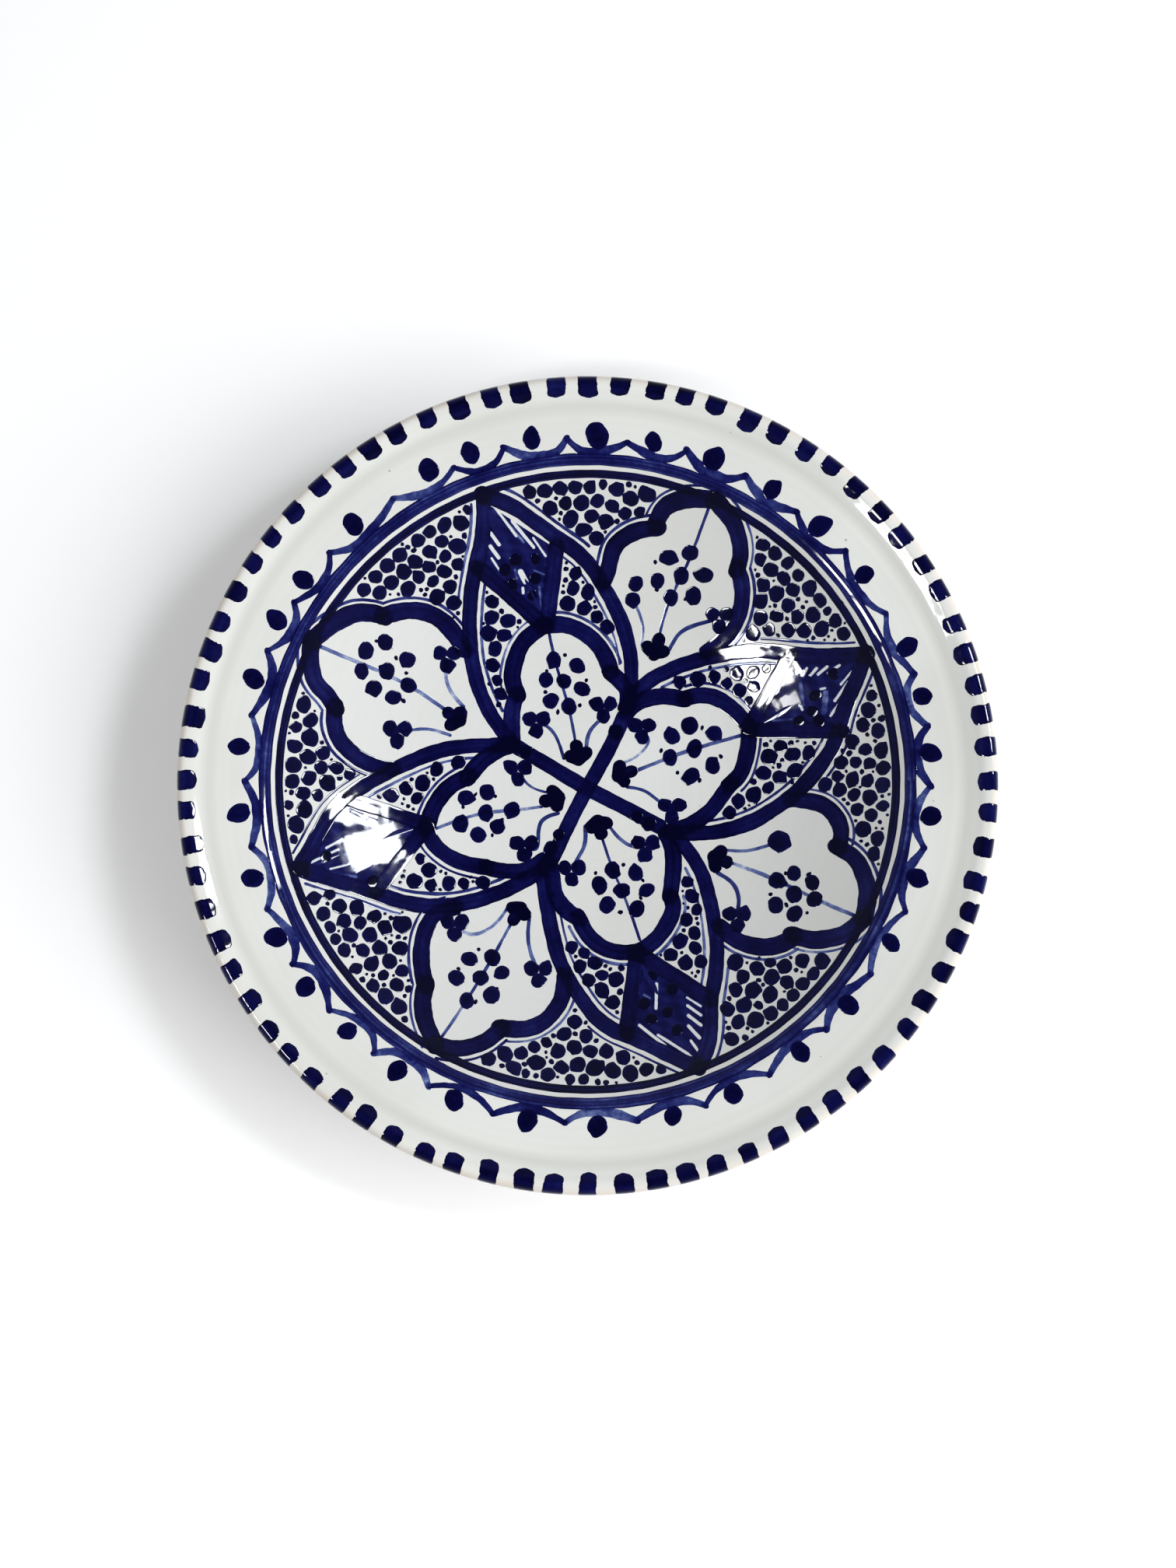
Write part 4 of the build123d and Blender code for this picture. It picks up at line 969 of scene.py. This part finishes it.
# How thick the marks lie, and the steps along a band.
HEAVY = 0.06
LIGHT = 0.035
DOME = 0.11
BLOT_DOME = 0.1
RING_STEPS = 760


def brushed(strokes):
    """A smooth line through the points of each stroke."""
    return [through(points) for points in strokes]


def all_brushed(groups):
    """The same, for strokes in named groups."""
    return [through(points) for strokes in groups.values() for points in strokes]


def ring_line(radii):
    """A band's middle line and the directions along it."""
    middle = (radii[0] + radii[1]) / 2
    angle = np.linspace(0, 2 * math.pi, RING_STEPS, endpoint=False)
    x, y = RING_CENTRE
    line = np.stack([x + middle * np.cos(angle), y + middle * np.sin(angle)], -1)
    return line, np.stack([-np.sin(angle), np.cos(angle)], -1)


def garland_lines():
    """Swags that hang under the drops, from peak to peak."""
    chance = random.Random(SEED + 2)
    peaks = []
    for bearing, following in zip(DROP_BEARINGS, DROP_BEARINGS[1:] + DROP_BEARINGS[:1]):
        halfway = bearing + (following - bearing) % 360 / 2
        peaks.append((halfway, GARLAND_PEAK + chance.uniform(-1, 1)))
    lines = []
    for (angle, radius), (next_angle, next_radius) in zip(peaks, peaks[1:] + peaks[:1]):
        span = (next_angle - angle) % 360
        lean = chance.uniform(-0.06, 0.06)
        dip = GARLAND_DIP + chance.uniform(-0.7, 0.9)
        points = []
        for reach, share in ((radius, 0), (dip + GARLAND_HIP, 0.24 + lean), (dip, 0.5 + lean),
                             (dip + GARLAND_HIP, 0.76 + lean), (next_radius, 1)):
            bearing = math.radians(angle + share * span)
            x, y = RING_CENTRE
            points.append((x + reach * math.cos(bearing), y + reach * math.sin(bearing)))
        lines.append(through(points))
    return lines


def contour_lines():
    """Thin lines beside the petals' upper lobes and the leaves."""
    lines = []
    for strokes in INNER_PETALS.values():
        lines += [beside(line, CONTOUR_OFFSET, PETAL_CONTOUR_ENDS) for line in strokes[1:3]]
    for lobes in OUTER_PETALS.values():
        lines += [beside(line, CONTOUR_OFFSET, PETAL_CONTOUR_ENDS) for line in lobes]
    for first, second in LEAF_EDGES.values():
        for edge, inward in ((first, -CONTOUR_OFFSET), (second, CONTOUR_OFFSET)):
            lines.append(beside(edge, inward, LEAF_CONTOUR_ENDS))
            lines.append(beside(edge, -inward, LEAF_TIP_CONTOUR_ENDS))
    return lines


def stamen_lines():
    """The stamen lines, each carried on towards the dabs at its end."""
    tips = [np.array(tip, float) for flower in FLOWERS.values() for tip in flower["tips"]]
    lines = []
    for line in (line for flower in FLOWERS.values() for line in flower["lines"]):
        end = np.array(line[-1], float)
        near = min(tips, key=lambda tip: np.hypot(*(tip - end)))
        if np.hypot(*(near - end)) < TIP_REACH:
            line = line + [tuple(near + 0.3 * (end - near))]
        lines.append(through(line))
    return lines


def blot_toes():
    """Lines of the three toes of each flower's blot."""
    lines = []
    for flower in FLOWERS.values():
        x, y = flower["blot"]
        middle = flower["lines"][0]
        ahead = math.atan2(middle[1][1] - y, middle[1][0] - x)
        for turn, reach in ((-62, 0.5), (0, 0.8), (62, 0.5)):
            bearing = ahead + math.radians(turn)
            reach = BLOT_TOE * reach
            end = (x + reach * math.cos(bearing), y + reach * math.sin(bearing))
            lines.append(through([(x, y), end]))
    return lines


# Each kind of stroke: its lines, width, height, paint, edge pooling and fraying. A band is
# one line.
STROKES = {
    "centre_cross": (brushed(CROSS_STROKES), 5.8, HEAVY, 0.66, 0.16, 0.03),
    "inner_petals": (all_brushed(INNER_PETALS), 6.4, HEAVY, 0.66, 0.16, 0.04),
    "leaf_outlines": (all_brushed(LEAF_EDGES), 5.9, HEAVY, 0.64, 0.16, 0.045),
    "outer_petals": (all_brushed(OUTER_PETALS), 6.5, HEAVY, 0.64, 0.16, 0.045),
    "lozenge_frames": (all_brushed(LOZENGE_SIDES), 6.2, HEAVY, 0.68, 0.14, 0.04),
    "stamen_blots": (blot_toes(), BLOT_WIDTH, BLOT_DOME, 0.86, 0.05, 0.05),
}
RINGS = {
    "inner_band": (ring_line(INNER_BAND), 3.0, 0.05, 0.78, 0.16, 0.06),
    "outer_band": (ring_line(OUTER_BAND), 4.4, 0.05, 0.47, 0.30, 0.08),
}
THIN = {
    "garland": (garland_lines(), GARLAND_WIDTH, LIGHT, 0.36, 0.24, 0.12),
    "stamen_lines": (stamen_lines(), STAMEN_WIDTH, LIGHT, 0.24, 0.10, 0.1),
    "contour_lines": (contour_lines(), CONTOUR_WIDTH, LIGHT, 0.31, 0.10, 0.14),
}
# Each kind of dab: its ovals, paint and fraying.
DABS = {
    "border_drops": (ovals("border_drops"), 0.76, 0.05),
    "stamen_tips": (ovals("stamen_tips"), 0.76, 0.07),
    "petal_dots": (ovals("petal_dots"), 0.76, 0.05),
    "ground_dots": (ovals("ground_dots"), 0.77, 0.06),
    "ground_specks": (ovals("ground_specks"), 0.76, 0.08),
}

# The dabs ran a little wider than the touches of the brush that the model holds.
BIGGEST_DROP = 8.5
DAB_SWELL = {
    "border_drops": 1.08, "stamen_tips": 1.08, "petal_dots": 1.1, "ground_dots": 1.0,
    "ground_specks": 1.0,
}
GROUND_SWELL = 1.24
# The ground starts at this distance from the centre. Its dabs move this far at most, until
# they are this far apart. FAR keeps a dab from meeting itself.
GROUND_START = 42.0
SETTLE_REACH = 4.0
SETTLE_GAP = 0.8
SETTLE_ROUNDS = 60
SETTLE_SIZES = (0.8, 1.18)
FAR = 99
# The smaller touches between them: each size and how often it is tried beside each dab, the
# gap they keep, how near a dot they lie and how much of a stroke they may touch.
CRUMB_SIZES = ((2.5, 60), (2.0, 30), (1.3, 6), (0.65, 5))
CRUMB_GAP = 0.45
CRUMB_REACH = 8.5
CRUMB_OVERLAP = 0.1
SMALL_CRUMB = 1.3
round_turns = np.linspace(0, 2 * math.pi, 12, endpoint=False)
COMPASS = np.stack([np.cos(round_turns), np.sin(round_turns)], -1)

for lines, width, *_ in list(STROKES.values()) + list(THIN.values()):
    for line, _ in lines:
        add_to_map(line, width / 2, 1.0 if width > 3 else 0.5)
for (line, _), width, *_ in RINGS.values():
    add_to_map(line, width / 2, 1.0)
for place, size in BLOTS:
    add_to_map(np.array([place], float), size / 2, 0.8)


def settled(marks):
    """Dabs moved a little, so that each lies clear of the others and of the strokes."""
    home = np.array([mark[:2] for mark in marks])
    half = np.array([(mark[2] + mark[3]) / 4 for mark in marks])
    need = half[:, None] + half[None] + SETTLE_GAP
    reach = np.where(np.hypot(home[:, 0], home[:, 1]) < GROUND_START, 0, SETTLE_REACH)
    place = home.copy()
    for _ in range(SETTLE_ROUNDS):
        gap = place[:, None] - place[None]
        apart = np.linalg.norm(gap, axis=-1) + np.eye(len(place)) * FAR
        push = (gap * (np.clip(need - apart, 0, 2) / apart)[..., None]).sum(1) * 0.25
        rims = place[:, None] + COMPASS[None] * (half + 0.5 * SETTLE_GAP)[:, None, None]
        met = np.clip(from_map(rims.reshape(-1, 2)).reshape(len(place), -1), 0, 1)
        place = place + push - (met[..., None] * COMPASS[None]).sum(1) * 0.15
        drift = place - home
        far = np.maximum(np.linalg.norm(drift, axis=1), 1e-6)
        place = home + drift * np.minimum(1, reach / far)[:, None]
    gap = np.linalg.norm(place[:, None] - place[None], axis=-1) + np.eye(len(place)) * FAR
    slack = (gap - half[:, None] - half[None]).min(1)
    fit = np.clip(1 + (slack - 0.5) / (2 * half), *SETTLE_SIZES)
    return [(*spot, mark[2] * share, mark[3] * share, mark[4])
            for spot, mark, share in zip(place, marks, fit)]


ground = [(x, y, length * GROUND_SWELL, width * GROUND_SWELL, turn)
          for x, y, length, width, turn in DABS["ground_dots"][0]]
loose = settled(ground + DABS["ground_specks"][0])
DABS["ground_dots"] = (loose[:len(ground)], *DABS["ground_dots"][1:])
DABS["ground_specks"] = (loose[len(ground):], *DABS["ground_specks"][1:])
for marks, _, _ in DABS.values():
    for x, y, length, width, _ in marks:
        add_to_map(np.array([[x, y]]), (length + width) / 4, 1.0)


def bare(x, y, half):
    """Whether hardly any stroke lies within a small round place."""
    rim = COMPASS * half
    return from_map(np.concatenate([rim, rim * 0.5]) + np.array([x, y])).mean() < CRUMB_OVERLAP


def gaps(places, spot):
    """How far places in plan are from a spot."""
    return np.hypot(places[:, 0] - spot[0], places[:, 1] - spot[1])


def crumbs():
    """Smaller touches in the ground, wherever the glaze beside a dot is still bare."""
    chance = random.Random(SEED + 700)
    spots = [(x, y, (length + width) / 4)
             for node in ("ground_dots", "ground_specks")
             for x, y, length, width, _ in DABS[node][0]]
    dots = np.array([mark[:2] for mark in DABS["ground_dots"][0]])
    found = []
    for size, tries in CRUMB_SIZES:
        for x, y, reach in list(spots):
            for _ in range(tries):
                bearing, half = chance.uniform(0, 2 * math.pi), size * chance.uniform(0.85, 1.15)
                away = reach + half + CRUMB_GAP * chance.uniform(1, 2)
                spot = (x + away * math.cos(bearing), y + away * math.sin(bearing))
                others = np.array(spots)
                clear = (gaps(others, spot) - others[:, 2]).min() - half
                near = gaps(dots, spot).min() < CRUMB_REACH
                near = near and math.hypot(*spot) > GROUND_START
                if near and clear > CRUMB_GAP * 0.99 and bare(*spot, half):
                    add_to_map(np.array([spot]), half, 1.0)
                    spots.append((*spot, half))
                    found.append((*spot, half))
    return found


CRUMBS = crumbs()


def darken(heap, own, gain=0.24):
    """Adds what other marks leave on the same places, so that overlaps turn nearly black."""
    places = np.concatenate(heap.places)
    extra = np.clip(from_map(places[:, :2]) - own, 0, 2)
    heap.paint = [np.clip(np.concatenate(heap.paint) + gain * extra, 0, 1)]


for number, (node, (lines, width, height, load, edge, fray)) in enumerate(STROKES.items()):
    chance = random.Random(SEED + 100 + number)
    heap = Heap()
    for line, along in lines:
        tweak = chance.uniform(-0.05, 0.05)
        ribbon(heap, line, along, width * chance.uniform(0.96, 1.05),
               height * chance.uniform(0.85, 1.15), load + tweak, chance, edge=edge, fray=fray,
               ends=(chance.uniform(0.8, 1.1), chance.uniform(0.8, 1.2)))
    if node == "inner_petals":
        for (x, y), size in BLOTS:
            dab(heap, x, y, size * 1.05, size * 0.95, chance.uniform(0, 3), BLOT_DOME, 0.95, chance)
    darken(heap, 1.0)
    make(node + "_brushed", heap, COBALT, node)

for number, (node, ((line, along), width, height, load, edge, fray)) in enumerate(RINGS.items()):
    chance = random.Random(SEED + 200 + number)
    heap = Heap()
    ribbon(heap, line, along, width, height, load, chance, edge=edge, fray=fray, closed=True,
           streak=0.13)
    darken(heap, 1.0)
    make(node + "_brushed", heap, COBALT, node)

for number, (node, (lines, width, height, load, edge, fray)) in enumerate(THIN.items()):
    chance = random.Random(SEED + 300 + number)
    heap = Heap()
    for line, along in lines:
        ribbon(heap, line, along, width * chance.uniform(0.8, 1.2), height,
               load + chance.uniform(-0.12, 0.14), chance, edge=edge, fray=fray,
               across=THIN_ACROSS, streak=0.02, swell=0.6 if node == "garland" else 0.0)
    darken(heap, 0.5, 0.3)
    make(node + "_brushed", heap, WASH, node)

for number, (node, (marks, load, fray)) in enumerate(DABS.items()):
    chance = random.Random(SEED + 400 + number)
    heap = Heap()
    for x, y, length, width, turn in marks:
        size = chance.uniform(0.98, 1.12) * DAB_SWELL[node]
        rise = DOME * min(1, length / 5) * chance.uniform(0.8, 1.15)
        tip, tails = 0.0, 1.0
        if node == "border_drops":
            turn += math.pi * (math.cos(turn) * x + math.sin(turn) * y < 0)
            tip, tails = chance.uniform(0, 0.2) * (length < BIGGEST_DROP), 0.3
        dab(heap, x, y, length * size, width * size, turn, rise,
            load + chance.uniform(-0.04, 0.05), chance, fray, tails=tails, tip=tip)
    if node == "ground_specks":
        for x, y, half in CRUMBS:
            dab(heap, x, y, 2 * half, 1.9 * half, chance.uniform(0, 3), 0.05 + 0.02 * half, load,
                chance, fray, points=14 if half < SMALL_CRUMB else 26)
    if node == "petal_dots":
        for x, y in SATELLITES:
            dab(heap, x, y, chance.uniform(1.3, 2.2), chance.uniform(1.2, 1.8),
                chance.uniform(0, 3), 0.06, 0.84, chance, 0.07, 16)
    darken(heap, 1.0, 0.2)
    make(node + "_brushed", heap, COBALT, node)


DASH_STEPS = 15
DASH_START = 142.0
DASH_MIDDLE = 143.0
# How much of a dash turns down over the lip.
DASH_OVER = 2.0


def rim_dashes():
    """Dashes that start on the thickened rim and run over the lip to its edge."""
    chance = random.Random(SEED + 500)
    heap = Heap()
    start_run = float(np.interp(DASH_START, FACE[:, 0], FACE_RUN))
    end_run = FACE_RUN[-1]
    for corners in islands("rim_dashes"):
        x, y = corners[:, 0].mean(), corners[:, 1].mean()
        middle = math.atan2(y, x)
        turn = np.arctan2(corners[:, 1], corners[:, 0]) - middle
        turn = from_heading(turn)
        half = (turn.max() - turn.min()) / 2 * DASH_MIDDLE * chance.uniform(0.94, 1.06)
        begin = start_run + chance.uniform(-0.8, 1.4)
        along = np.linspace(0, 1, DASH_STEPS)
        reach = half * chance.uniform(0.3, 0.75)
        run = begin + (end_run - 0.1 - begin) * along
        cap = np.clip((run - begin) / reach, 0, 1)
        share = np.sqrt(np.clip(1 - (1 - cap) ** 2, 0.02, 1))
        lean = chance.uniform(-0.006, 0.006)
        left, right = (1 + waver(run, chance, [(9, 0.05), (4, 0.03)]) for _ in range(2))
        u = ACROSS[None, :]
        spread = half * share[:, None] * np.where(u > 0, left[:, None], right[:, None]) * u
        angle = middle + lean * along[:, None] + spread / DASH_MIDDLE
        lift = crown(ACROSS, 0.08)[None, :] * np.where(u * u < 0.99, np.sqrt(share)[:, None], 1)
        over = np.clip((run - (end_run - DASH_OVER)) / DASH_OVER, 0, 1)[:, None]
        lift = lift * (1 - over) + over * -EDGE_DIP
        top = over_lip(np.repeat(run[:, None], len(ACROSS), 1), angle, lift)
        under = over_lip(run, middle + lean * along, -UNDERSIDE)
        places = np.concatenate([top, under[:, None, :]], 1).reshape(-1, 3)
        load = chance.uniform(0.6, 0.78)
        pool, soft = pooled(u, 0.18)
        paint = load + pool + soft
        paint = paint + waver(run, chance, [(7, 0.06), (3, 0.04)])[:, None] - 0.26 * over
        paint = np.concatenate([paint, np.full((DASH_STEPS, 1), load)], 1).reshape(-1)
        around = len(ACROSS) + 1
        faces = loops_to_faces(DASH_STEPS, around)
        faces.append(tuple(range(around))[::-1])
        faces.append(tuple((DASH_STEPS - 1) * around + k for k in range(around)))
        heap.add(places, faces, np.clip(paint, 0, 1))
    return heap


make("rim_dashes_brushed", rim_dashes(), COBALT, "rim_dashes")


def along_line(plan, start, end, width):
    """How deep places lie inside a straight mark with round ends: 1 inside and 0 outside."""
    start, end = np.array(start, float), np.array(end, float)
    reach = end - start
    share = np.clip(((plan - start) @ reach) / (reach @ reach), 0, 1)
    gap = np.hypot(*np.moveaxis(plan - start - share[..., None] * reach, -1, 0))
    return np.clip((width / 2 - gap) / 0.3 + 0.5, 0, 1)


FILL_STEPS = 84


def lozenge_fills():
    """Each lozenge's painted diamond, with its bare slits and touches of a second load."""
    chance = random.Random(SEED + 600)
    heap = Heap()
    n = FILL_STEPS
    share = np.linspace(0, 1, n)
    for name, corners in LOZENGE_FILLS.items():
        a, b, c, d = (np.array(p, float) for p in corners)
        v, w = np.meshgrid(share, share)
        v, w = v[..., None], w[..., None]
        plan = (a * (1 - v) + b * v) * (1 - w) + (d * (1 - v) + c * v) * w
        edge = np.minimum(np.minimum(v, 1 - v), np.minimum(w, 1 - w))[..., 0]
        x, y = plan[..., 0], plan[..., 1]
        load = 0.56 + 0.07 * np.sin(x * 0.9 + y * 0.35 + 1) + 0.05 * np.sin(y * 1.7 + 0.3 * x)
        load = load + 0.25 * np.clip(from_map(plan.reshape(-1, 2)).reshape(n, n), 0, 1.2)
        for *ends, width in LIGHTER_WASH:
            load = load - 0.3 * along_line(plan, *ends, width)
        lift = np.full((n, n), LIGHT)
        for *ends, width in LOZENGE_SLITS[name]:
            slit = along_line(plan, *ends, width * 0.94)
            load = load * (1 - slit) - 0.2 * slit
            lift = lift * (1 - slit) + 0.01 * slit
        lift = np.where(edge < 1e-6, -EDGE_DIP, lift)
        top = lie(x, y, lift).reshape(-1, 3)
        middle = plan.reshape(-1, 2).mean(0)
        rim = list(range(n)) + [i * n + n - 1 for i in range(1, n)]
        rim += [(n - 1) * n + i for i in range(n - 2, -1, -1)]
        rim += [i * n for i in range(n - 2, 0, -1)]
        faces = [(i * n + j, i * n + j + 1, (i + 1) * n + j + 1, (i + 1) * n + j)
                 for i in range(n - 1) for j in range(n - 1)]
        over, up = plan[0, -1] - plan[0, 0], plan[-1, 0] - plan[0, 0]
        if over[0] * up[1] - over[1] * up[0] < 0:
            faces = [face[::-1] for face in faces]
            rim = rim[::-1]
        sunk = lie(x.reshape(-1)[rim], y.reshape(-1)[rim], -UNDERSIDE)
        centre = lie(middle[:1], middle[1:2], np.array([-UNDERSIDE - 0.3]))
        base = n * n
        for k in range(len(rim)):
            m = (k + 1) % len(rim)
            faces.append((rim[m], rim[k], base + k, base + m))
            faces.append((base + m, base + k, base + len(rim)))
        paint = np.concatenate([load.reshape(-1), np.full(len(rim) + 1, 0.5)])
        heap.add(np.concatenate([top, sunk, centre]), faces, np.clip(paint, -0.2, 1))
    for x, y in LOZENGE_TOUCHES:
        dab(heap, x, y, chance.uniform(4.2, 5.2), chance.uniform(3.8, 4.8), chance.uniform(0, 3),
            BLOT_DOME, 0.93, chance, tails=0.4)
    return heap


make("lozenge_fills_brushed", lozenge_fills(), COBALT, "lozenge_fills")

# ---- Floor, light and camera ---------------------------------------------------------------

scene = bpy.context.scene
scene.view_settings.view_transform = "Standard"
scene.view_settings.look = "None"


def plain(name, shade, roughness):
    """A dull, slightly cloudy grey."""
    tree = Tree(name)
    cloud = tree.ramp(tree.noise(6, 3), [(0.3, shade), (0.7, shade * 1.01)])
    tree.put(cloud, tree.shader.inputs["Base Color"])
    tree.shader.inputs["Roughness"].default_value = roughness
    tree.shader.inputs["Specular IOR Level"].default_value = 0.2
    return tree.material


FLOOR = 4.0
CORNERS = [(-FLOOR, -FLOOR, 0), (FLOOR, -FLOOR, 0), (FLOOR, FLOOR, 0), (-FLOOR, FLOOR, 0)]
floor_mesh = bpy.data.meshes.new("floor")
floor_mesh.from_pydata(CORNERS, [], [(0, 1, 2, 3)])
floor = bpy.data.objects.new("floor", floor_mesh)
scene.collection.objects.link(floor)
floor_mesh.materials.append(plain("pale_floor", 0.93, 0.8))

# The sky, from its horizon up: height and brightness.
SKY_SHADES = [(0.28, 1.25), (0.62, 0.5), (0.95, 0.16)]
SKY_STRENGTH = 0.27
world = bpy.data.worlds.new("studio")
scene.world = world
world.use_nodes = True
sky = world.node_tree
heading = sky.nodes.new("ShaderNodeTexCoord")
split = sky.nodes.new("ShaderNodeSeparateXYZ")
sky.links.new(heading.outputs["Generated"], split.inputs[0])
dome = sky.nodes.new("ShaderNodeValToRGB")
dome.color_ramp.elements.new(0.6)
for element, (position, shade) in zip(dome.color_ramp.elements, SKY_SHADES):
    element.position, element.color = position, (0.97 * shade, 0.985 * shade, shade, 1)
sky.links.new(split.outputs["Z"], dome.inputs[0])
sky.links.new(dome.outputs[0], sky.nodes["Background"].inputs["Color"])
sky.nodes["Background"].inputs["Strength"].default_value = SKY_STRENGTH


def panel(name, width, height, power):
    """A rectangular light."""
    light = bpy.data.lights.new(name, "AREA")
    light.shape = "RECTANGLE"
    light.size, light.size_y = width, height
    light.energy = power
    lamp = bpy.data.objects.new(name, light)
    scene.collection.objects.link(lamp)
    return lamp


def outward(bearing, polar):
    """The direction at a bearing and an angle from the vertical, in degrees."""
    a, p = math.radians(bearing), math.radians(polar)
    return Vector((math.sin(p) * math.cos(a), math.sin(p) * math.sin(a), math.cos(p)))


LIGHT_AIM = Vector((0, 0, 0.03))
# The soft lights, which leave no image in the glaze: bearing, angle from the vertical,
# distance, side and power.
SOFT_LIGHTS = {"key": (-18, 53, 1.9, 1.6, 37), "fill": (0, 0, 2.5, 2.6, 13.2)}

for name, (bearing, polar, distance, size, power) in SOFT_LIGHTS.items():
    lamp = panel(name, size, size, power)
    lamp.location = LIGHT_AIM + distance * outward(bearing, polar)
    lamp.rotation_euler = (LIGHT_AIM - lamp.location).to_track_quat("-Z", "Y").to_euler()
    lamp.visible_glossy = False

PANE_DISTANCE = 1.6
# Two windows, each seen in the glaze: its aim on the plate, bearing, angle from the
# vertical and tint, and its panes, each with its place in the window, turn, width, height
# and glow.
WINDOWS = {
    "left": ((0.0693, 0.0411, 0.0249), 204.4, 32.7, (1.0, 1.0, 1.0), [
        (-0.013, 0.008, -33, 0.24, 0.088, 45),
        (-0.104, -0.097, -34, 0.19, 0.14, 34),
        (0.037, 0.105, -20, 0.14, 0.06, 20),
    ]),
    "right": ((-0.081, -0.018, 0.0257), 19.0, 37.0, (0.92, 0.96, 1.0), [
        (-0.050, -0.075, 12, 0.31, 0.115, 34),
        (0.017, 0.054, -14, 0.31, 0.110, 34),
    ]),
}


def window(name, aim, bearing, polar, tint, panes):
    """Small bright panes whose images in the glaze are hard-edged patches."""
    out = outward(bearing, polar)
    up = (Vector((0, 1, 0)) - out * out.y).normalized()
    side = out.cross(up)
    for number, (across, along, turn, width, height, glow) in enumerate(panes):
        power = math.pi * width * height * glow
        lamp = panel(f"window_{name}_{number}", width, height, power)
        lamp.data.color = tint
        main = side * math.cos(math.radians(turn)) + up * math.sin(math.radians(turn))
        turned = Matrix((main, out.cross(main), out)).transposed().to_4x4()
        place = Vector(aim) + out * PANE_DISTANCE + side * across + up * along
        lamp.matrix_world = Matrix.Translation(place) @ turned


for name, settings in WINDOWS.items():
    window(name, *settings)

CAMERA_DISTANCE = 0.900
CAMERA_ELEVATION = math.radians(86.0)
AIM = Vector((0.00014, -0.00086, 0.044))
LENS = 56.357142857
SENSOR = 36.0
view = bpy.data.cameras.new("camera")
view.lens = LENS
view.sensor_width = SENSOR
camera = bpy.data.objects.new("camera", view)
back = Vector((0, -math.cos(CAMERA_ELEVATION), math.sin(CAMERA_ELEVATION)))
camera.location = AIM + back * CAMERA_DISTANCE
camera.rotation_euler = (-back).to_track_quat("-Z", "Y").to_euler()
scene.collection.objects.link(camera)
scene.camera = camera

bpy.context.view_layer.update()
